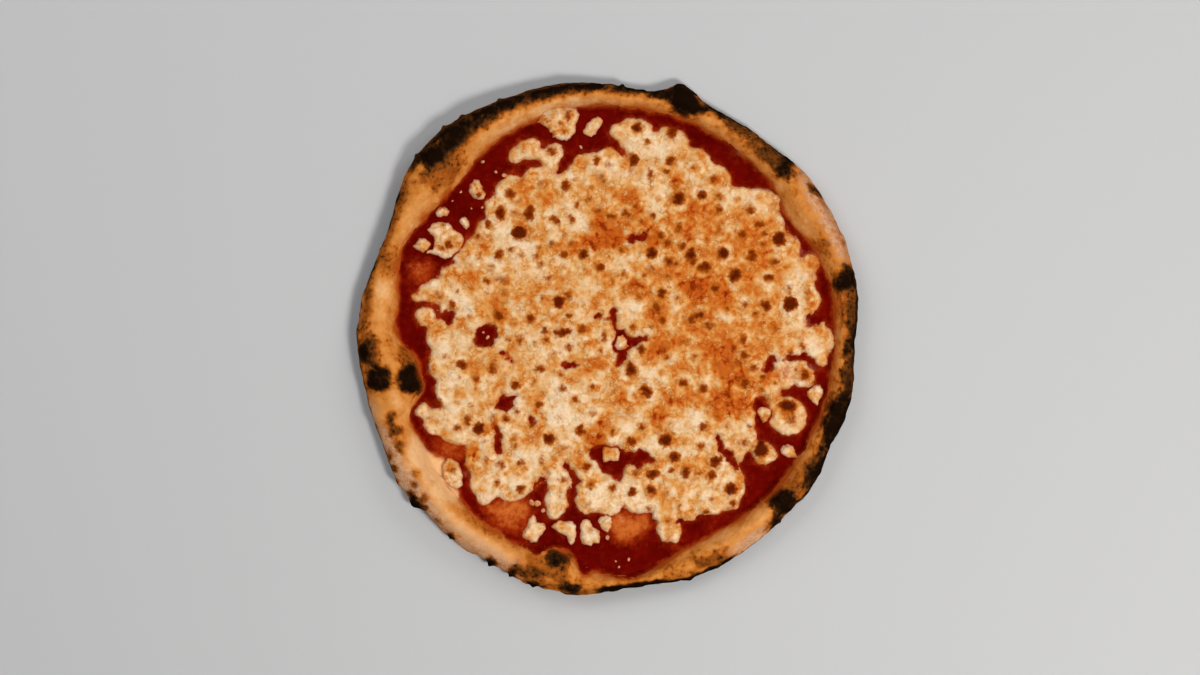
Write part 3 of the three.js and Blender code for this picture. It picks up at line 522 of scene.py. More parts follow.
def settle(places, edges, free, times, pull=0.5):
    """Pulls each free corner towards the mean of its neighbours."""
    count = np.bincount(edges.ravel(), minlength=len(places))
    for _ in range(times):
        mean = np.empty_like(places)
        for axis in range(places.shape[1]):
            from_a = np.bincount(edges[:, 0], places[edges[:, 1], axis], len(places))
            from_b = np.bincount(edges[:, 1], places[edges[:, 0], axis], len(places))
            mean[:, axis] = (from_a + from_b) / count
        places[free] = mix(places[free], mean[free], pull)


def start_piece():
    """Leaves nothing selected, so that an operator acts on the new piece alone."""
    if bpy.context.object and bpy.context.object.mode != "OBJECT":
        bpy.ops.object.mode_set(mode="OBJECT")
    bpy.ops.object.select_all(action="DESELECT")


def take_piece(name):
    """Names what was just added, and puts its place into its mesh."""
    piece = bpy.context.object
    piece.name = piece.data.name = name
    bpy.ops.object.transform_apply(location=True, rotation=True, scale=True)
    return piece


def select_parts(piece, kind, chosen):
    """Selects only the chosen corners, edges or faces of a piece, and enters edit mode."""
    if piece.mode != "OBJECT":
        bpy.ops.object.mode_set(mode="OBJECT")
    mesh = piece.data
    for parts in (mesh.vertices, mesh.edges, mesh.polygons):
        parts.foreach_set("select", np.zeros(len(parts), bool))
    modes = {"VERT": mesh.vertices, "EDGE": mesh.edges, "FACE": mesh.polygons}
    modes[kind].foreach_set("select", chosen)
    bpy.context.tool_settings.mesh_select_mode = tuple(kind == each for each in modes)
    bpy.ops.object.mode_set(mode="EDIT")


def leave_edit():
    bpy.ops.object.mode_set(mode="OBJECT")


def finish_piece(piece, material, slot, *nodes):
    """Gives a piece its finish and its place in the frame."""
    piece.data.materials.clear()
    piece.data.materials.append(material)
    bpy.ops.object.shade_smooth_by_angle(angle=SMOOTH_ANGLE)
    if nodes:
        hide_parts(*nodes)
    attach(piece, "root")


# ---- Materials -----------------------------------------------------------------------------------------

def tone(red, green, blue):
    """A colour given in the usual 0 to 255 steps, as the light that it stands for."""
    shares = [each / 255 for each in (red, green, blue)]
    return tuple(s / 12.92 if s <= 0.04045 else ((s + 0.055) / 1.055) ** 2.4 for s in shares)


class Recipe:
    """A material under way: each call adds one node, and hands on the socket to join to the next."""

    def __init__(self, name, **surface):
        self.material = bpy.data.materials.new(name)
        self.material.use_nodes = True
        self.tree = self.material.node_tree
        self.surface = self.tree.nodes["Principled BSDF"]
        for socket, value in surface.items():
            self.surface.inputs[socket.replace("_", " ")].default_value = value
        self.places = self.add("ShaderNodeTexCoord").outputs["Object"]

    def add(self, kind, **settings):
        node = self.tree.nodes.new(kind)
        for name, value in settings.items():
            setattr(node, name, value)
        return node

    def join(self, source, socket):
        """Joins a socket, or sets a plain value."""
        if isinstance(source, bpy.types.NodeSocket):
            self.tree.links.new(source, socket)
        else:
            socket.default_value = source

    def layer(self, name):
        """One of the numbers that paint() kept on the piece."""
        return self.add("ShaderNodeAttribute", attribute_name=name).outputs["Fac"]

    def noise(self, size, detail=2.0, rough=0.5):
        """Noise from 0 to 1 whose largest lumps are about `size` millimetres across."""
        node = self.add("ShaderNodeTexNoise")
        self.join(self.places, node.inputs["Vector"])
        node.inputs["Scale"].default_value = 1 / (size * MM)
        node.inputs["Detail"].default_value = detail
        node.inputs["Roughness"].default_value = rough
        return node.outputs["Fac"]

    def math(self, operation, a, b=0.0, c=0.0):
        node = self.add("ShaderNodeMath", operation=operation)
        for value, socket in zip((a, b, c), node.inputs):
            self.join(value, socket)
        return node.outputs[0]

    def total(self, start, *terms):
        """start, plus each socket times its weight."""
        for socket, weight in terms:
            start = self.math("MULTIPLY_ADD", socket, weight, start)
        return start

    def stretch(self, value, low, high, to_low=0.0, to_high=1.0):
        """Eases a value from one range to another, and holds it there."""
        node = self.add("ShaderNodeMapRange", interpolation_type="SMOOTHSTEP")
        limits = {"From Min": low, "From Max": high, "To Min": to_low, "To Max": to_high}
        for name, limit in limits.items():
            node.inputs[name].default_value = limit
        self.join(value, node.inputs["Value"])
        return node.outputs["Result"]

    def ramp(self, value, *stops):
        """Colours along a scale from 0 to 1."""
        node = self.add("ShaderNodeValToRGB")
        steps = node.color_ramp.elements
        while len(steps) < len(stops):
            steps.new(1.0)
        for step, (at, colour) in zip(steps, stops):
            step.position = at
            step.color = (*colour, 1.0)
        self.join(value, node.inputs["Fac"])
        return node.outputs["Color"]

    def blend(self, share, under, over):
        node = self.add("ShaderNodeMix", data_type="RGBA")
        self.join(share, node.inputs["Factor"])
        colours = [socket for socket in node.inputs if socket.type == "RGBA"]
        for colour, socket in zip((under, over), colours):
            self.join(colour if isinstance(colour, bpy.types.NodeSocket) else (*colour, 1.0), socket)
        return next(socket for socket in node.outputs if socket.type == "RGBA")

    def relief(self, height, depth, strength):
        """Fine relief, `depth` millimetres deep."""
        node = self.add("ShaderNodeBump")
        node.inputs["Strength"].default_value = strength
        node.inputs["Distance"].default_value = depth * MM
        self.join(height, node.inputs["Height"])
        self.join(node.outputs["Normal"], self.surface.inputs["Normal"])
        self.join(node.outputs["Normal"], self.surface.inputs["Coat Normal"])

    def gloss(self, value, low, high, least, most):
        """A wet coat that grows from least to most while the value goes from low to high."""
        self.join(self.stretch(value, low, high, least, most), self.surface.inputs["Coat Weight"])

    def done(self, colour, roughness):
        self.join(colour, self.surface.inputs["Base Color"])
        self.join(roughness, self.surface.inputs["Roughness"])
        return self.material


def crust_material(crust):
    """Baked dough: pale to golden to charred as the `bake` layer says, dusted with flour, and stained by
    sauce along its foot."""
    recipe = Recipe("baked_crust", Specular_IOR_Level=0.0)
    cloud = recipe.noise(8, 3)
    freckle = recipe.noise(2.2)
    grain = recipe.noise(0.7)
    layer = recipe.layer("bake")
    spread = recipe.total(-0.5, (freckle, 0.7), (grain, 0.3))
    mottled = recipe.math("MULTIPLY", spread, recipe.stretch(layer, 0.26, 0.5, 0.25, 0.42))
    baked = recipe.stretch(layer, 0.2, 0.36)
    specks = recipe.math("MULTIPLY", recipe.stretch(freckle, 0.54, 0.72), baked)
    bake = recipe.total(-0.05, (layer, 1.0), (mottled, 1.0), (cloud, 0.10), (specks, 0.15))
    colour = recipe.ramp(
        bake, (0.0, crust.pale), (0.16, crust.light), (0.30, crust.golden), (0.43, crust.orange),
        (0.58, crust.brown), (0.73, crust.dark), (0.90, crust.charred),
    )
    dusting = recipe.total(-1.2, (freckle, 2.4), (grain, 2.0))
    flour = recipe.math("MULTIPLY", recipe.layer("flour"), dusting)
    colour = recipe.blend(recipe.stretch(flour, 0.1, 1.2, 0.0, 0.85), colour, crust.flour)
    stain = recipe.total(-0.25, (recipe.layer("stain"), 1.0), (cloud, 0.3), (freckle, 0.2))
    colour = recipe.blend(recipe.stretch(stain, 0.08, 0.7), colour, crust.stained)
    recipe.relief(recipe.total(0.0, (recipe.noise(2.6), 0.7), (grain, 0.2)), 0.5, 0.6)
    return recipe.done(colour, 0.7)


def sauce_material(sauce):
    """Wet tomato sauce, deep red and finely grained, orange where fat thinned it, and flecked with milk
    where cheese melted over it."""
    recipe = Recipe("tomato_sauce", Specular_IOR_Level=0.0)
    cloud = recipe.noise(14, 3)
    pulp = recipe.noise(3, 3, 0.55)
    grain = recipe.noise(1.3)
    depth = recipe.total(0.0, (cloud, 0.6), (pulp, 0.4))
    colour = recipe.ramp(depth, (0.3, sauce.deep), (0.7, sauce.bright))
    orange = recipe.total(-0.45, (recipe.layer("orange"), 1.0), (pulp, 0.6), (grain, 0.3))
    colour = recipe.blend(recipe.stretch(orange, 0.0, 0.7), colour, sauce.orange)
    colour = recipe.blend(recipe.stretch(orange, 0.45, 1.1), colour, sauce.oiled)
    film = recipe.math("MULTIPLY", recipe.layer("film"), recipe.total(0.0, (pulp, 1.4), (grain, 0.6)))
    colour = recipe.blend(recipe.stretch(film, 0.2, 1.1, 0.0, 0.75), colour, sauce.milky)
    milk = recipe.total(-0.9, (recipe.layer("milk"), 0.6), (grain, 1.0), (pulp, 0.4))
    colour = recipe.blend(recipe.stretch(milk, 0.42, 0.56, 0.0, 0.7), colour, sauce.milky)
    recipe.relief(recipe.total(0.0, (pulp, 0.7), (grain, 0.3)), 0.35, 0.6)
    return recipe.done(colour, 0.4)


def cheese_material(cheese):
    """Melted mozzarella: cream to orange as the `richness` layer says, with bubbles browned by the fire, thin
    and pink at its edge, darker along its creases, partly with painted shade, and glossy where fat pooled on
    it, with cream dots there that are partly froth and partly painted highlights."""
    recipe = Recipe(
        CHEESE_NAME, Specular_IOR_Level=0.0, Coat_Roughness=0.05, Subsurface_Weight=0.12,
        Subsurface_Scale=0.002,
    )
    cloud = recipe.noise(7)
    curd = recipe.noise(2.8, 1)
    grain = recipe.noise(1.6, 1)
    layer = recipe.layer("richness")
    oily = recipe.stretch(layer, 0.2, 0.7, 0.3, 1.0)
    speckled = recipe.math("MULTIPLY", recipe.math("SUBTRACT", grain, 0.5), oily)
    strand = recipe.noise(5)
    off_strand = recipe.math("ABSOLUTE", recipe.math("SUBTRACT", strand, 0.5))
    near_strand = recipe.stretch(off_strand, 0.0, 0.07, 1.0, 0.0)
    # Darker lines along the creases: sauce showing in the cracks, and painted shade in the recesses.
    crease_and_shade = recipe.math("MULTIPLY", near_strand, recipe.stretch(cloud, 0.42, 0.6))
    frothy = recipe.stretch(recipe.noise(8, 1), 0.5, 0.62)
    # Cream dots in the wet patches: froth, and painted highlights where the glints fall.
    froth_and_glint = recipe.math("MULTIPLY", recipe.stretch(grain, 0.54, 0.64), frothy)
    richness = recipe.total(
        -0.27, (layer, 1.0), (cloud, 0.25), (curd, 0.25), (speckled, 0.12), (crease_and_shade, 0.18),
        (froth_and_glint, -0.25),
    )
    colour = recipe.ramp(
        richness, (0.04, cheese.pale), (0.25, cheese.cream), (0.45, cheese.golden), (0.64, cheese.orange),
        (0.82, cheese.oiled), (1.0, cheese.soaked),
    )
    edge = recipe.ramp(richness, (0.2, cheese.edge), (0.6, cheese.oiled))
    colour = recipe.blend(recipe.stretch(recipe.layer("thin"), 0.25, 1.0, 0.0, 0.85), colour, edge)
    brown = recipe.total(-0.3, (recipe.layer("brown"), 1.0), (curd, 0.25), (grain, 0.35))
    burnt = recipe.ramp(brown, (0.12, cheese.tan), (0.42, cheese.browned), (0.74, cheese.burnt))
    colour = recipe.blend(recipe.stretch(brown, -0.04, 0.38), colour, burnt)
    height = recipe.total(0.0, (strand, 0.5), (curd, 0.5), (grain, 0.5), (crease_and_shade, -0.2), (froth_and_glint, 0.3))
    recipe.relief(height, 1.0, 0.9)
    recipe.gloss(frothy, 0.0, 0.8, 0.1, 1.0)
    return recipe.done(colour, recipe.stretch(brown, 0.0, 0.3, 0.4, 0.6))


def floor_material(stage):
    recipe = Recipe("pale_floor", Specular_IOR_Level=0.1)
    return recipe.done((*stage.floor, 1.0), 0.9)


# ---- Crust ---------------------------------------------------------------------------------------------

def rounded_slope(along):
    """How high the inside of the rim has risen at a share of the way from its foot to its crest."""
    return mix(float(ease(along)), 1 - (1 - along) ** SLOPE_ROUNDNESS, SLOPE_FULLNESS)


def crust_section(crust):
    """The dough's section at its mean sizes, from the middle of the underside round the rim to the middle
    of the top, as radius and height."""
    outer = crust.outer_radius / MM
    inner = crust.inner_radius / MM
    base = crust.base_thickness / MM
    height = crust.rim_height / MM
    crest = inner + CREST * (outer - inner)
    foot = outer - FOOT_SETBACK
    section = [(foot * (i / FOOT_STEPS) ** 0.5, 0.0) for i in range(FOOT_STEPS)]
    for i in range(FLANK_STEPS):
        turn = i / FLANK_STEPS * math.pi / 2
        section.append((foot + FOOT_SETBACK * math.sin(turn), WIDEST_HEIGHT * (1 - math.cos(turn))))
    for i in range(CREST_STEPS):
        turn = i / CREST_STEPS * math.pi / 2
        radius = crest + (outer - crest) * math.cos(turn)
        section.append((radius, mix(WIDEST_HEIGHT, height, math.sin(turn))))
    for i in range(SLOPE_STEPS):
        along = i / SLOPE_STEPS
        section.append((mix(crest, inner, along), mix(base, height, rounded_slope(1 - along))))
    core = inner * WELL_CORE
    section += [(mix(inner, core, i / BASE_STEPS), base) for i in range(BASE_STEPS)]
    return section + [(core, base), (0.0, base)]


def stretch_rim(crust, places):
    """Moves the corners of the mean section to where the rim runs at each azimuth."""
    outer_mean = crust.outer_radius / MM
    inner_mean = crust.inner_radius / MM
    base = crust.base_thickness / MM
    radius = np.hypot(places[:, 0], places[:, 1])
    azimuth = azimuth_of(places[:, 0], places[:, 1])
    inner = inner_radius(azimuth)
    across = (radius - inner_mean) / (outer_mean - inner_mean)
    above = (places[:, 2] - base) / (crust.rim_height / MM - base)
    on_the_rim = inner + across * (outer_radius(azimuth) - inner)
    wanted = np.where(across <= 0, radius / inner_mean * inner, on_the_rim)
    places[:, :2] *= (wanted / np.maximum(radius, TINY))[:, None]
    places[:, 2] = np.where(above <= 0, places[:, 2], base + above * (rim_height(azimuth) - base))
    on_rim = ease((places[:, 2] - base) / WIDEST_HEIGHT)
    for x, y, size, rise in BLISTERS:
        away = np.hypot(places[:, 0] - x, places[:, 1] - y) / size
        places[:, 2] += rise * np.clip(1 - away ** 2, 0, 1) ** 2 * on_rim


def raise_bubbles(places, on_rim):
    """Small gas bubbles all over the rim. Gives how far each corner rises, and how browned it is."""
    draw = np.random.default_rng(7)
    rim = np.flatnonzero(on_rim > 0.9)
    rise = np.zeros(len(places))
    brown = np.zeros(len(places))
    for middle in places[draw.choice(rim, BUBBLE_COUNT, replace=False)]:
        size = draw.uniform(2.2, 6.5)
        height = size * draw.uniform(0.07, 0.17)
        heat = draw.uniform(-0.05, 0.12)
        away = np.linalg.norm(places - middle, axis=1) / size
        dome = np.clip(1 - away ** 2, 0, 1) ** 2
        rise += height * dome
        brown += heat * dome
    return rise, brown


def marked(marks, azimuth, radius, wander, soft, halo=0.0):
    """How strongly each place shows the marks, whose edges are `soft` millimetres wide, with a fainter halo
    round them. Where they overlap they don't add up past 1."""
    clear = np.ones(len(azimuth))
    for at, middle, wide, deep, amount in marks:
        wide = math.radians(wide) * middle
        size = min(wide, deep)
        along = np.radians(np.abs(turned_away(azimuth, at))) * radius / wide
        across = np.abs(radius - middle) / deep
        away = (along ** MARK_SQUARENESS + across ** MARK_SQUARENESS) ** (1 / MARK_SQUARENESS)
        inside = (1 - away) * size + wander * min(1, size / 3)
        clear *= 1 - amount * ease(inside / min(soft, 1.5 * size) + 0.5)
        clear *= 1 - halo * amount * ease(inside / HALO_WIDTH + 0.75)
    return 1 - clear


def bake_crust(places, bubbles):
    """How dark, how floured and how stained each corner of the crust is."""
    radius = np.hypot(places[:, 0], places[:, 1])
    azimuth = azimuth_of(places[:, 0], places[:, 1])
    inner = inner_radius(azimuth)
    outer = outer_radius(azimuth)
    on_flank = (places[:, 2] < WIDEST_HEIGHT) & (radius > mix(inner, outer, CREST))
    reach = np.where(on_flank, outer + (WIDEST_HEIGHT - places[:, 2]) / 2, radius)
    past_edge = reach - outer
    cloud = rough(places, 14, 3, seed=4)
    patch = rough(places, 5, 4, seed=5)
    wander = 2.0 * patch + 0.6 * rough(places, 1.8, 2, seed=6)

    # The dough browns towards its outer edge and where the fire caught it. The dark lines along the edge are
    # partly char and partly painted contact shadow.
    bake = MEAN_BAKE + 0.10 * cloud + 0.07 * patch + bubbles
    bake += 0.14 * ease((past_edge + 1) / 3) + 0.12 * ease((past_edge + 9) / 7)
    for at, wide, deep, amount in CHAR_AND_SHADOW_LINES:
        along = ease((wide - np.abs(turned_away(azimuth, at))) / 3)
        across = ease((past_edge + deep + 0.4 * wander) / 2.2 + 0.5)
        bake += amount * along * across * ease((0.9 - bake) / 0.3)
    bake += (1 - bake) * marked(SCORCHED, azimuth, reach, wander, SCORCH_SOFTNESS, SCORCH_HALO)
    at, wide, deep = RIND
    along = ease((wide - np.abs(turned_away(azimuth, at))) / 4)
    across = ease((past_edge + deep + 0.4 * wander) / 1.6)
    bake = mix(bake, np.minimum(bake, RIND_BAKE), along * across)
    bake -= marked(PALE, azimuth, reach, wander, PALE_SOFTNESS)
    flour = marked(FLOURED, azimuth, reach, wander, PALE_SOFTNESS) * ease((0.62 - bake) / 0.3)
    past_sauce = np.clip(radius - sauce_radius(azimuth) + 0.4, 0, None)
    stain = np.exp(-past_sauce / 2.0) * (0.85 + 0.5 * cloud)

    # The underside lay on the stone: floured, with browned patches.
    under = ease((2.0 - places[:, 2]) / 2.0)
    patches = ease((rough(places, 11, 3, seed=9) - 0.15) / 0.3)
    bake = mix(bake, UNDERSIDE_BAKE + UNDERSIDE_PATCHES * patches, under)
    flour = mix(flour, 0.5 + 0.4 * cloud, under)
    return bake, flour, stain * (1 - under)


def build_crust(crust):
    section = crust_section(crust)
    start_piece()
    bpy.ops.mesh.primitive_circle_add(
        vertices=len(section), radius=crust.outer_radius, rotation=(math.pi / 2, 0, 0),
    )
    piece = take_piece("crust")
    for corner, (radius, height) in zip(piece.data.vertices, section):
        corner.co = Vector((radius, 0, height)) * MM
    on_axis = {0, len(section) - 1}
    closing = np.array([set(edge.vertices) == on_axis for edge in piece.data.edges])
    select_parts(piece, "EDGE", closing)
    bpy.ops.mesh.delete(type="EDGE_FACE")
    bpy.ops.mesh.select_all(action="SELECT")
    bpy.ops.mesh.spin(steps=TURN_STEPS, angle=2 * math.pi, center=(0, 0, 0), axis=(0, 0, 1))
    bpy.ops.mesh.select_all(action="SELECT")
    bpy.ops.mesh.remove_doubles(threshold=TINY)
    bpy.ops.mesh.normals_make_consistent(inside=False)
    leave_edit()

    places = corners_of(piece) - MIDDLE
    stretch_rim(crust, places)
    move_corners(piece, places)
    base = crust.base_thickness / MM
    on_rim = ease((places[:, 2] - 1.0) / 3.0) * ease((places[:, 2] - base) / 2.0 + 0.2)
    normals = normals_of(piece)
    rise, brown = raise_bubbles(places, on_rim)
    azimuth = azimuth_of(places[:, 0], places[:, 1])
    upright = np.clip(1 - np.abs(normals[:, 2]), 0, 1)
    for at, wide, reach in TIPS:
        rise += reach * np.exp(-((turned_away(azimuth, at) / wide) ** 2)) * upright
    bake, flour, stain = bake_crust(places, brown)
    # Bulges and dents, then a fine grain, which is coarser where the crust charred.
    rise += 0.7 * rough(places, 24, 2, seed=1) + 0.55 * rough(places, 8, 3, seed=2)
    rise += 0.12 * rough(places, 2.4, 2, seed=3)
    rise -= 0.25 * ease((bake - 0.7) / 0.2) * rough(places, 3, 2, seed=8)
    places += normals * (rise * on_rim)[:, None]
    places[:, 2] = np.maximum(places[:, 2], 0)
    move_corners(piece, places)
    paint(piece, bake=bake, flour=flour, stain=stain)
    finish_piece(piece, crust_material(crust), "crust", "dough")


# ---- Melted and poured pieces --------------------------------------------------------------------------

def run_together(a, b, soft):
    """The greater of the two, with a fillet `soft` millimetres wide where they meet."""
    return np.maximum(a, b) + np.maximum(0, soft - np.abs(a - b)) ** 2 / (4 * soft)


def inside_rim(x, y):
    """How far inside the foot of the rim a place lies."""
    return inner_radius(azimuth_of(x, y)) - RIM_CLEARANCE - np.hypot(x, y)


def inside_lumps(lumps, x, y):
    """How far inside the melted outline of some lumps a place lies. It is negative outside them."""
    depth = np.full(np.shape(x), FAR_OUTSIDE)
    for middle_x, middle_y, radius in lumps:
        depth = run_together(depth, radius - np.hypot(x - middle_x, y - middle_y), RUN_TOGETHER)
    return depth


def to_line(x, y, ax, ay, bx, by):
    """How far from the straight line between two places a place lies."""
    along = ((x - ax) * (bx - ax) + (y - ay) * (by - ay)) / ((bx - ax) ** 2 + (by - ay) ** 2)
    share = np.clip(along, 0, 1)
    return np.hypot(x - ax - share * (bx - ax), y - ay - share * (by - ay))


def inside_outline(outline, x, y):
    """How far inside a drawn outline a place lies. It is negative outside it."""
    near = np.full(np.shape(x), np.inf)
    inside = np.zeros(np.shape(x), bool)
    for (ax, ay), (bx, by) in zip(outline, outline[1:] + outline[:1]):
        near = np.minimum(near, to_line(x, y, ax, ay, bx, by))
        if ay != by:
            inside ^= ((ay > y) != (by > y)) & (x < ax + (bx - ax) * (y - ay) / (by - ay))
    return np.where(inside, near, -near)


def inside_loose(outline, x, y):
    """How far inside a loose lump a place lies."""
    return np.minimum(inside_outline(outline, x, y), inside_rim(x, y) + LUMP_CLIMB)


def sheet_with_gaps(x, y):
    """How far a place lies inside the sheet and outside its gaps, whose edges are ragged, and clear of the
    loose lumps."""
    depth = np.minimum(inside_lumps(SHEET_LUMPS, x, y), inside_rim(x, y) + SHEET_CLIMB)
    ragged = 1.5 * rough_flat(x, y, 3.2, 3, seed=43)
    for *ends, half in SHEET_GAPS:
        depth = np.minimum(depth, to_line(x, y, *ends) - half + ragged)
    for outline in OUTLINED_GAPS:
        depth = np.minimum(depth, 0.6 * ragged - inside_outline(outline, x, y))
    for outline in LOOSE_LUMPS:
        depth = np.minimum(depth, -inside_outline(outline, x, y) - LUMP_CLEARANCE)
    return depth


def wandering(inside, size, reach, seed):
    """The same outline, drawn with a less steady hand."""
    def inside_wandering(x, y):
        shift_x = reach * rough_flat(x, y, size, 4, seed)
        shift_y = reach * rough_flat(x, y, size, 4, seed + 1)
        return inside(x + shift_x, y + shift_y)
    return inside_wandering


inside_sheet = wandering(sheet_with_gaps, 7, 1.5, seed=41)


def without_pinches(kept):
    """Fills the square wherever two kept ones touch by a corner alone."""
    while True:
        a, b, c, d = kept[:-1, :-1], kept[1:, :-1], kept[:-1, 1:], kept[1:, 1:]
        rows, columns = np.nonzero((a & d & ~b & ~c) | (b & c & ~a & ~d))
        if not len(rows):
            return kept
        for row in (rows, rows + 1):
            for column in (columns, columns + 1):
                kept[row, column] = True


def joined_to(kept, row, column):
    """What of the kept squares hangs together with one of them."""
    reached = np.zeros_like(kept)
    reached[row, column] = kept[row, column]
    count = 0
    while reached.sum() > count:
        count = reached.sum()
        for _ in range(8):
            grown = reached.copy()
            grown[1:] |= reached[:-1]
            grown[:-1] |= reached[1:]
            grown[:, 1:] |= reached[:, :-1]
            grown[:, :-1] |= reached[:, 1:]
            reached = grown & kept
    return reached


def cut_flat(name, inside, middle, span, cell):
    """A flat lattice of small squares, cut along an outline."""
    steps = math.ceil(span / cell)
    place = (Vector((middle[0], middle[1], 0)) - Vector(MIDDLE)) * MM
    start_piece()
    bpy.ops.mesh.primitive_grid_add(
        x_subdivisions=steps, y_subdivisions=steps, size=span * MM, location=place,
    )
    piece = take_piece(name)
    centres = np.empty(len(piece.data.polygons) * 3)
    piece.data.polygons.foreach_get("center", centres)
    centres = centres.reshape(-1, 3) / MM + MIDDLE
    across, up = centres[:, 0] - middle[0], centres[:, 1] - middle[1]
    columns = ((across + span / 2) / span * steps).astype(int)
    rows = ((up + span / 2) / span * steps).astype(int)
    chosen = inside(centres[:, 0], centres[:, 1]) > 0
    kept = np.zeros((steps, steps), bool)
    kept[columns, rows] = chosen
    start = np.argmin(np.where(chosen, np.hypot(across, up), np.inf))
    kept = joined_to(without_pinches(kept), columns[start], rows[start])
    select_parts(piece, "FACE", ~kept[columns, rows])
    bpy.ops.mesh.delete(type="FACE")
    leave_edit()
    return piece


def snap_edge(piece, inside, cell):
    """Moves the cut edge onto the outline, and evens out the squares beside it."""
    places = corners_of(piece)
    edges = edges_of(piece)
    rim_edges = edges[open_edges(piece)]
    rim = np.unique(rim_edges)
    step = 0.05
    flattest = 0.2
    for _ in range(3):
        settle(places, rim_edges, rim, 1, 0.4)
        x, y = places[rim, 0], places[rim, 1]
        depth = inside(x, y)
        slope = np.stack([inside(x + step, y) - depth, inside(x, y + step) - depth], axis=1) / step
        steep = np.maximum(np.sum(slope ** 2, axis=1), flattest)
        shift = -slope * (depth / steep)[:, None]
        length = np.maximum(np.linalg.norm(shift, axis=1), TINY)
        places[rim, :2] += shift * np.minimum(1, cell / length)[:, None]
    inner = np.ones(len(places), bool)
    inner[rim] = False
    settle(places, edges, inner, 2)
    move_corners(piece, places)
    return places


def close_below(piece, floor):
    """Draws the edge straight down to the floor, and fills the flat underside."""
    count = len(piece.data.vertices)
    select_parts(piece, "EDGE", open_edges(piece))
    bpy.ops.mesh.extrude_region_move(TRANSFORM_OT_translate={"value": (0, 0, -MM)})
    leave_edit()
    places = corners_of(piece)
    places[count:, 2] = floor
    move_corners(piece, places)
    select_parts(piece, "EDGE", open_edges(piece))
    bpy.ops.mesh.fill(use_beauty=False)
    bpy.ops.mesh.select_all(action="SELECT")
    bpy.ops.mesh.normals_make_consistent(inside=False)
    leave_edit()
    return count


# ---- Sauce ---------------------------------------------------------------------------------------------

def inside_sauce(x, y):
    return sauce_radius(azimuth_of(x, y)) - np.hypot(x, y)


def lie_on_crust(places, chosen, lift):
    """Raises the chosen corners to at least `lift` millimetres above the crust."""
    crust = bpy.data.objects.get("crust")
    if crust is None:
        raise RuntimeError("Sauce and cheese lie against the crust, so the crust comes first")
    down = Vector((0, 0, -1))
    for index in np.flatnonzero(chosen):
        above = Vector((*(places[index, :2] - MIDDLE[:2]), FAR_ABOVE)) * MM
        hit, place, *_ = crust.ray_cast(above, down)
        if hit:
            lowest = place.z / MM + lift[index]
            places[index, 2] = run_together(places[index, 2], lowest, RISE_ONTO_CRUST)


def build_sauce(sauce):
    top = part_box("tomato_sauce")[1].z / MM
    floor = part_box("tomato_sauce")[0].z / MM
    inside = wandering(inside_sauce, 9, 1.6, seed=21)
    span = 2 * (bpy.context.scene.pizza_crust.inner_radius / MM + SAUCE_MARGIN)
    piece = cut_flat("sauce", inside, (0, 0), span, SAUCE_CELL)
    places = snap_edge(piece, inside, SAUCE_CELL)
    depth = inside(places[:, 0], places[:, 1])
    orange = bumps(places, ORANGE_SAUCE)
    relief = 0.35 * rough(places, 12, 2, seed=22) + 0.2 * rough(places, 3.5, 2, seed=23)
    places[:, 2] = top - 0.35 + relief + 0.4 * np.clip(orange, 0, 1.2)
    lie_on_crust(places, depth < SAUCE_EDGE_BAND, 0.35 * ease(depth / 1.2) - 0.1)
    move_corners(piece, places)
    close_below(piece, floor)

    places = corners_of(piece)
    depth = inside(places[:, 0], places[:, 1])
    # Fat thins it in places, along its edge, and beside the cheese.
    texture = 0.9 + 0.4 * rough(places, 6, 3, seed=24) + 0.3 * rough(places, 2.2, 2, seed=25)
    thinned = 1 - np.exp(-1.1 * bumps(places, ORANGE_SAUCE) * texture)
    beside = np.exp(np.minimum(inside_sheet(places[:, 0], places[:, 1]), 0) / 1.4)
    orange = np.maximum(np.maximum(thinned, 0.62 - depth / 4), 0.5 * beside * texture)
    paint(piece, orange=orange, milk=beside, film=bumps(places, FILMS) * texture)
    finish_piece(piece, sauce_material(sauce), "sauce", "tomato_sauce")


# ---- Cheese --------------------------------------------------------------------------------------------

def small_spots():
    """The lesser bubbles, spread at random between the listed ones."""
    draw = np.random.default_rng(11)
    taken = [(x, y) for x, y, *_ in BROWN_SPOTS + TAN_SPOTS]
    spots = []
    while len(spots) < SPOT_COUNT:
        x = draw.uniform(*SPREAD_X)
        y = draw.uniform(*SPREAD_Y)
        away = min(math.hypot(x - a, y - b) for a, b in taken)
        size = draw.uniform(0.8, 1.9)
        heat = draw.uniform(0.22, 0.6)
        if away > SPOT_SPACING:
            taken.append((x, y))
            spots.append((x, y, size, size * draw.uniform(0.7, 1.3), heat))
    return spots


def all_spots():
    """Every bubble: place, half width across x and y, and how much it browned."""
    draw = np.random.default_rng(5)
    spots = []
    for x, y, wide, deep in BROWN_SPOTS:
        heat = 0.04 + 0.26 * min(wide, deep) + draw.uniform(-0.18, 0.14)
        spots.append((x, y, wide, deep, min(max(heat, LEAST_BROWNED), MOST_BROWNED)))
    for x, y, wide, deep in TAN_SPOTS:
        spots.append((x, y, wide, deep, draw.uniform(0.2, 0.42)))
    return spots + small_spots()


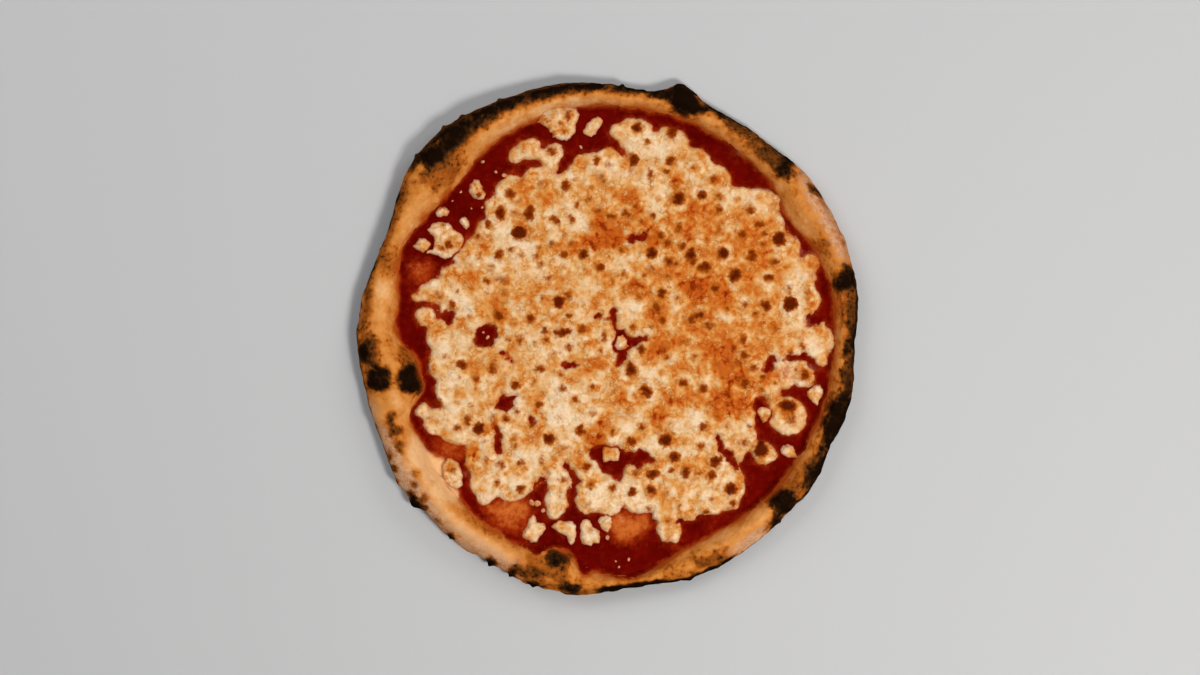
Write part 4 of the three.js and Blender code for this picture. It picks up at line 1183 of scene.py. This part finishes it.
def browning(x, y, spots, broken):
    """How browned the cheese is at each place, how golden round its bubbles, and how far they rise."""
    draw = np.random.default_rng(5)
    brown, golden, rise = np.zeros((3, len(x)))
    for at_x, at_y, wide, deep, heat in spots:
        # A bubble is round, with one lobe at its side and a ragged edge.
        size = min(wide, deep)
        across, up = (x - at_x) / wide, (y - at_y) / deep
        away = np.hypot(across, up)
        turn = draw.uniform(0, 2 * math.pi)
        shift = draw.uniform(0.4, 1.0)
        lobe = np.hypot(across - shift * math.cos(turn), up - shift * math.sin(turn))
        inside = (1 - np.minimum(away, lobe + draw.uniform(0.15, 0.6))) * size + broken
        brown = np.maximum(brown, heat * ease((inside + 1.9) / 4.2))
        # The cheese round it is golden, and farther out on one side.
        turn = draw.uniform(0, 2 * math.pi)
        side = 0.5 * size
        around = np.hypot(x - at_x - side * math.cos(turn), y - at_y - side * math.sin(turn)) / size
        halo = draw.uniform(0.3, 1.0) * ease((2.3 - around - 0.4 * broken) / 1.2)
        golden = np.maximum(golden, heat * halo)
        brown = np.maximum(brown, 0.22 * heat * halo)
        rise += size * 0.12 * np.clip(1.3 - away ** 2 * 0.6, 0, 1) ** 2
    return brown, golden, rise


def to_seam(x, y, spots):
    """Each bubble sits in a curd of its own: how far a place lies from the bubble, and from the seam to
    the next curd."""
    first = np.full(len(x), np.inf)
    second = first.copy()
    for at_x, at_y, wide, deep, _ in spots:
        away = np.hypot(x - at_x, y - at_y) - 0.5 * min(wide, deep)
        second = np.minimum(second, np.maximum(first, away))
        first = np.minimum(first, away)
    return first, (second - first) / 2


def cheese_layers(places, depth, torn):
    """The relief of melted cheese over its rounded edge, and the layers that its material reads. Torn cheese
    is more rugged than cheese that ran, and its low creases are darker with painted shade."""
    flat = places.copy()
    flat[:, 2] = 0
    mound = rough(flat, 13, 2, seed=31)
    cloud = rough(flat, 8, 3, seed=34)
    curd = rough(flat, 4.6, 2, seed=32)
    fine = rough(flat, 1.9, 2, seed=33)
    spots = all_spots()
    brown, golden, bubbles = browning(places[:, 0], places[:, 1], spots, 0.9 * curd + 0.9 * fine)
    away, seam = to_seam(places[:, 0] + 2.6 * curd, places[:, 1] + 2.6 * cloud, spots)
    oiled = bumps(flat, OILED)
    # Pale patches: cheese that stayed thick, and in places painted highlights where glints fall.
    pale = bumps(flat, PALE_AND_GLINT_PATCHES)

    paler_below = 0.04 * ease((-places[:, 1] - 10) / 50)
    richer_right = 0.08 * ease((places[:, 0] + 40) / 130)
    richness = MEAN_RICHNESS - paler_below + richer_right
    richness += 0.34 * np.clip(oiled, 0, 1.5) - 0.30 * np.clip(pale, 0, 1.3)
    richness += 0.20 * golden - 0.12 * mound - 0.22 * cloud - 0.14 * curd - 0.05 * fine
    # It is richer along the seams between curds, and paler in a ring round each bubble and along its edge.
    between = np.exp(-((seam / 1.2) ** 2))
    richness += 0.13 * between * np.clip(0.4 + 2 * curd, 0, 1)
    richness -= 0.13 * np.exp(-(((away - 3.6) / 1.7) ** 2)) * np.clip(0.6 + 1.2 * cloud, 0, 1)
    richness -= 0.10 * np.exp(-(((depth - 1.6) / 1.4) ** 2))
    specks = between * ease((curd - 0.05) / 0.35) * np.clip(0.15 + oiled, 0, 1)
    richness = np.minimum(richness, MOST_OILED) + 0.35 * specks
    # Torn lumps are darker in their low creases: partly their own tan tint, partly painted shade.
    richness -= torn * (0.14 * curd + 0.05 * fine)

    # It mounds up in curds, sinks where fat pooled, and stands where it stayed thick.
    relief = 0.6 * mound + 0.3 * curd + 0.15 * fine + 0.7 * ease(seam / 3) - 0.35
    relief += 0.25 * np.clip(pale, 0, 1) - 0.3 * np.clip(oiled, 0, 1.4)
    relief += torn * (0.7 * curd + 0.4 * fine)
    veil = bumps(flat, VEILS) * np.clip(0.75 + 1.6 * fine + 0.8 * curd, 0, 2)
    thin = np.maximum(np.exp(-np.clip(depth, 0, None)), veil)
    return relief, bubbles, richness, brown, thin


def cheese_finish(cheese):
    """The material of every piece of cheese, made when the first one is finished."""
    return bpy.data.materials.get(CHEESE_NAME) or cheese_material(cheese)


def melt(piece, cheese, inside, cell, thickness, shoulder, richer, torn, node):
    """Gives a flat cut piece of cheese its rounded edge, as wide as the shoulder, its relief and its
    colours."""
    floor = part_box("tomato_sauce")[1].z / MM - CHEESE_SINK
    places = snap_edge(piece, inside, cell)
    depth = inside(places[:, 0], places[:, 1])
    relief, bubbles, richness, brown, thin = cheese_layers(places, depth, torn)
    share = np.clip(depth / shoulder, 0, 1)
    rounded = 1 - (1 - share) ** EDGE_ROUNDNESS
    places[:, 2] = floor + CHEESE_SINK + rounded * (thickness + relief + bubbles)
    near_rim = inside_rim(places[:, 0], places[:, 1]) < CHEESE_RIM_BAND
    lie_on_crust(places, near_rim, rounded * (0.55 * thickness + 0.5 * relief) - 0.1)
    move_corners(piece, places)
    count = close_below(piece, floor)
    below = len(piece.data.vertices) - count
    paint(
        piece,
        richness=np.concatenate([richness + richer, np.full(below, 0.5)]),
        brown=np.concatenate([brown, np.zeros(below)]),
        thin=np.concatenate([thin, np.ones(below)]),
    )
    finish_piece(piece, cheese_finish(cheese), "cheese", node)


def span_of(lumps):
    """The middle and the side of the square that some lumps fit in, with room round them."""
    low = [min(lump[axis] - lump[2] for lump in lumps) for axis in (0, 1)]
    high = [max(lump[axis] + lump[2] for lump in lumps) for axis in (0, 1)]
    middle = [(a + b) / 2 for a, b in zip(low, high)]
    return middle, max(b - a for a, b in zip(low, high)) + 2 * CUT_MARGIN


def build_sheet(cheese):
    middle, span = span_of(SHEET_LUMPS)
    piece = cut_flat("cheese_sheet_melted", inside_sheet, middle, span, SHEET_CELL)
    melt(
        piece, cheese, inside_sheet, SHEET_CELL, cheese.sheet_thickness / MM, shoulder=2.6, richer=0.0,
        torn=0.0, node="cheese_sheet",
    )


def build_lumps(cheese):
    for number, outline in enumerate(LOOSE_LUMPS, start=1):
        inside = wandering(functools.partial(inside_loose, outline), 4, 0.9, seed=50 + number)
        middle, span = span_of([(x, y, 0) for x, y in outline])
        piece = cut_flat(f"loose_lump_{number:02d}", inside, middle, span, LUMP_CELL)
        melt(
            piece, cheese, inside, LUMP_CELL, cheese.lump_thickness / MM, shoulder=2.8, richer=-0.05,
            torn=1.0, node=f"cheese_lump_{number:02d}",
        )


def build_crumbs(cheese):
    """Small knobbly crumbs, half sunk in the sauce, joined into one piece."""
    draw = np.random.default_rng(3)
    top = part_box("tomato_sauce")[1].z
    start_piece()
    crumbs = []
    for x, y, radius in CRUMBS:
        place = (Vector((x, y, 0)) - Vector(MIDDLE)) * MM
        place.z = top
        bpy.ops.mesh.primitive_ico_sphere_add(
            subdivisions=3, radius=radius * MM, location=place,
            rotation=(0, 0, draw.uniform(0, math.pi)), scale=(1, draw.uniform(0.65, 0.9), 0.7),
        )
        crumbs.append(bpy.context.object)
    for crumb in crumbs:
        crumb.select_set(True)
    bpy.ops.object.join()
    piece = take_piece("cheese_crumbs")
    places = corners_of(piece)
    places += normals_of(piece) * (0.25 * rough(places, 1.6, 2, seed=61))[:, None]
    move_corners(piece, places)
    paint(
        piece,
        richness=0.3 + 0.2 * rough(places, 1.5, 2, seed=62),
        brown=np.zeros(len(places)),
        thin=np.full(len(places), 0.7),
    )
    finish_piece(piece, cheese_finish(cheese), "cheese")


# ---- Stage ---------------------------------------------------------------------------------------------

def aim(item, target):
    item.rotation_euler = (Vector(target) - item.location).to_track_quat("-Z", "Y").to_euler()


def soft_light(name, azimuth, elevation, distance, size, power, colour, mirrored=False):
    """A square soft box, turned towards the pizza. It either lights it, or is only mirrored where it is
    wet."""
    light = bpy.data.lights.new(name, "AREA")
    light.size = size
    light.energy = power
    light.color = colour
    lamp = bpy.data.objects.new(name, light)
    lamp.visible_glossy = mirrored
    lamp.visible_diffuse = not mirrored
    turn, lift = math.radians(azimuth), math.radians(elevation)
    lamp.location = Vector((
        distance * math.cos(lift) * math.cos(turn),
        distance * math.cos(lift) * math.sin(turn),
        distance * math.sin(lift),
    ))
    aim(lamp, (0, 0, 0))
    bpy.context.collection.objects.link(lamp)


def build_stage(stage):
    start_piece()
    bpy.ops.mesh.primitive_plane_add(size=stage.floor_size)
    floor = take_piece("floor")
    floor.data.materials.append(floor_material(stage))

    soft_light("key_light", *KEY_PLACE, stage.key_power, (1.0, 0.95, 0.88))
    soft_light("glint_light", *KEY_PLACE, stage.glint_power, (1.0, 0.87, 0.68), mirrored=True)
    soft_light("fill_light", 140, 42, 1.9, 1.2, stage.fill_power, (1.0, 0.97, 0.93))
    soft_light("side_light", 45, 38, 1.9, 0.8, stage.side_power, (1.0, 0.96, 0.9))
    scene = bpy.context.scene
    world = bpy.data.worlds.new("studio")
    world.use_nodes = True
    background = world.node_tree.nodes["Background"]
    background.inputs["Color"].default_value = (1, 1, 1, 1)
    background.inputs["Strength"].default_value = stage.room_light
    world.cycles_visibility.glossy = False
    scene.world = world
    scene.view_settings.view_transform = "Standard"

    camera_data = bpy.data.cameras.new("camera")
    camera_data.lens = CAMERA_LENS
    camera_data.sensor_width = CAMERA_SENSOR
    camera = bpy.data.objects.new("camera", camera_data)
    camera.location = CAMERA_AIM + Vector((0, 0, CAMERA_HEIGHT))
    bpy.context.collection.objects.link(camera)
    scene.camera = camera


# ---- What a user can change ----------------------------------------------------------------------------

def size_setting(name, description, default):
    return bpy.props.FloatProperty(
        name=name, description=description, default=default, min=0.0, unit="LENGTH", precision=4,
    )


def tint_setting(name, description, *default):
    return bpy.props.FloatVectorProperty(
        name=name, description=description, default=tone(*default), size=3, min=0, max=1, subtype="COLOR",
    )


def power_setting(name, description, default):
    return bpy.props.FloatProperty(
        name=name, description=description, default=default, min=0.0, unit="POWER",
    )


class CrustSettings(bpy.types.PropertyGroup):
    outer_radius: size_setting("Outer radius", "Mean radius of the whole pizza", 0.150)
    inner_radius: size_setting("Inner radius", "Mean radius of the well that holds the toppings", 0.133)
    rim_height: size_setting("Rim height", "Mean height of the rim above the table", 0.017)
    base_thickness: size_setting("Base thickness", "Thickness of the dough under the toppings", 0.0035)
    pale: tint_setting("Pale dough", "Dough that hardly coloured", 234, 184, 130)
    light: tint_setting("Light dough", "Lightly baked dough", 220, 150, 80)
    golden: tint_setting("Golden dough", "Well baked dough", 202, 124, 50)
    orange: tint_setting("Orange dough", "Dough just before it browns", 170, 90, 27)
    brown: tint_setting("Brown dough", "Browned dough", 116, 62, 20)
    dark: tint_setting("Dark dough", "Dough about to char", 64, 36, 14)
    charred: tint_setting("Charred dough", "Charred dough", 24, 13, 6)
    flour: tint_setting("Floured dough", "Dough with flour baked onto it", 212, 172, 138)
    stained: tint_setting("Stained dough", "Dough tinted by the sauce", 178, 80, 26)


class SauceSettings(bpy.types.PropertyGroup):
    deep: tint_setting("Deep red", "Sauce where it is thick", 80, 3, 1)
    bright: tint_setting("Bright red", "Sauce where it is thin", 114, 9, 3)
    orange: tint_setting("Orange", "Sauce thinned with fat", 156, 48, 12)
    oiled: tint_setting("Oiled", "Fat and melted cheese over the sauce", 206, 112, 46)
    milky: tint_setting("Milky", "Flecks of melted cheese in the sauce", 206, 146, 116)


class CheeseSettings(bpy.types.PropertyGroup):
    sheet_thickness: size_setting("Sheet thickness", "Mean rise of the melted sheet", 0.0024)
    lump_thickness: size_setting("Lump thickness", "Mean rise of a loose lump", 0.0025)
    pale: tint_setting("Pale", "Cheese that stayed thick", 242, 214, 178)
    cream: tint_setting("Cream", "Melted cheese", 233, 192, 142)
    golden: tint_setting("Golden", "Cheese starting to colour", 220, 155, 83)
    orange: tint_setting("Orange", "Cheese tinted by sauce and fat", 206, 116, 42)
    oiled: tint_setting("Oiled", "Thin cheese in a pool of fat", 192, 84, 20)
    soaked: tint_setting("Soaked", "A film of cheese over the sauce", 136, 42, 8)
    edge: tint_setting("Edge", "The thin edge, over the sauce", 208, 134, 96)
    tan: tint_setting("Tan", "The edge of a browned bubble", 184, 102, 28)
    browned: tint_setting("Browned", "A browned bubble", 146, 60, 8)
    burnt: tint_setting("Burnt", "The middle of a browned bubble", 92, 28, 4)


class StageSettings(bpy.types.PropertyGroup):
    floor: tint_setting("Floor", "Colour of the floor", 196, 199, 204)
    floor_size: bpy.props.FloatProperty(
        name="Floor size", description="Side of the floor", default=8.0, min=1.0, unit="LENGTH",
    )
    key_power: power_setting("Key light", "Power of the light that casts the shadow", 19.0)
    glint_power: power_setting("Glint light", "Power of the light that wet cheese mirrors", 32.0)
    fill_power: power_setting("Fill light", "Power of the light opposite", 13.5)
    side_power: power_setting("Side light", "Power of the light at the side", 9.0)
    room_light: bpy.props.FloatProperty(
        name="Room light", description="Strength of the light from all round", default=0.14, min=0.0,
    )


# ---- Operators and the panel ---------------------------------------------------------------------------

class PIZZA_OT_crust(bpy.types.Operator):
    """Spin the dough's section, stretch it to the rim's run, and raise and bake its blisters"""
    bl_idname = "pizza.crust"
    bl_label = "Crust"

    def execute(self, context):
        build_crust(context.scene.pizza_crust)
        return {"FINISHED"}


class PIZZA_OT_sauce(bpy.types.Operator):
    """Spread the tomato sauce in the well"""
    bl_idname = "pizza.sauce"
    bl_label = "Tomato sauce"

    def execute(self, context):
        build_sauce(context.scene.pizza_sauce)
        return {"FINISHED"}


class PIZZA_OT_cheese_sheet(bpy.types.Operator):
    """Melt the lumps of mozzarella that ran together into one sheet"""
    bl_idname = "pizza.cheese_sheet"
    bl_label = "Cheese sheet"

    def execute(self, context):
        build_sheet(context.scene.pizza_cheese)
        return {"FINISHED"}


class PIZZA_OT_cheese_lumps(bpy.types.Operator):
    """Melt the loose lumps of mozzarella, each a piece of its own"""
    bl_idname = "pizza.cheese_lumps"
    bl_label = "Loose lumps"

    def execute(self, context):
        build_lumps(context.scene.pizza_cheese)
        return {"FINISHED"}


class PIZZA_OT_crumbs(bpy.types.Operator):
    """Drop the crumbs of mozzarella into the sauce"""
    bl_idname = "pizza.crumbs"
    bl_label = "Cheese crumbs"

    def execute(self, context):
        build_crumbs(context.scene.pizza_cheese)
        return {"FINISHED"}


class PIZZA_OT_stage(bpy.types.Operator):
    """Set up the floor, the lights and the camera"""
    bl_idname = "pizza.stage"
    bl_label = "Stage"

    def execute(self, context):
        build_stage(context.scene.pizza_stage)
        return {"FINISHED"}


OPERATORS = (
    PIZZA_OT_crust, PIZZA_OT_sauce, PIZZA_OT_cheese_sheet, PIZZA_OT_cheese_lumps, PIZZA_OT_crumbs,
    PIZZA_OT_stage,
)
SETTINGS = {
    "pizza_crust": CrustSettings,
    "pizza_sauce": SauceSettings,
    "pizza_cheese": CheeseSettings,
    "pizza_stage": StageSettings,
}


class PIZZA_PT_panel(bpy.types.Panel):
    """Lists the pieces of the pizza in the order in which they are made"""
    bl_idname = "PIZZA_PT_panel"
    bl_label = "Margherita Pizza"
    bl_space_type = "VIEW_3D"
    bl_region_type = "UI"
    bl_category = "Pizza"

    def draw(self, context):
        for operator in OPERATORS:
            self.layout.operator(operator.bl_idname)
        for name in SETTINGS:
            settings = getattr(context.scene, name)
            box = self.layout.box()
            for each in settings.bl_rna.properties:
                if each.identifier not in {"rna_type", "name"}:
                    box.prop(settings, each.identifier)


def register():
    for group in SETTINGS.values():
        bpy.utils.register_class(group)
    for name, group in SETTINGS.items():
        setattr(bpy.types.Scene, name, bpy.props.PointerProperty(type=group))
    for operator in OPERATORS:
        bpy.utils.register_class(operator)
    bpy.utils.register_class(PIZZA_PT_panel)


def unregister():
    bpy.utils.unregister_class(PIZZA_PT_panel)
    for operator in reversed(OPERATORS):
        bpy.utils.unregister_class(operator)
    for name, group in SETTINGS.items():
        delattr(bpy.types.Scene, name)
        bpy.utils.unregister_class(group)


def main():
    register()
    bpy.ops.pizza.crust()
    bpy.ops.pizza.sauce()
    bpy.ops.pizza.cheese_sheet()
    bpy.ops.pizza.cheese_lumps()
    bpy.ops.pizza.crumbs()
    bpy.ops.pizza.stage()


if __name__ == "__main__":
    main()
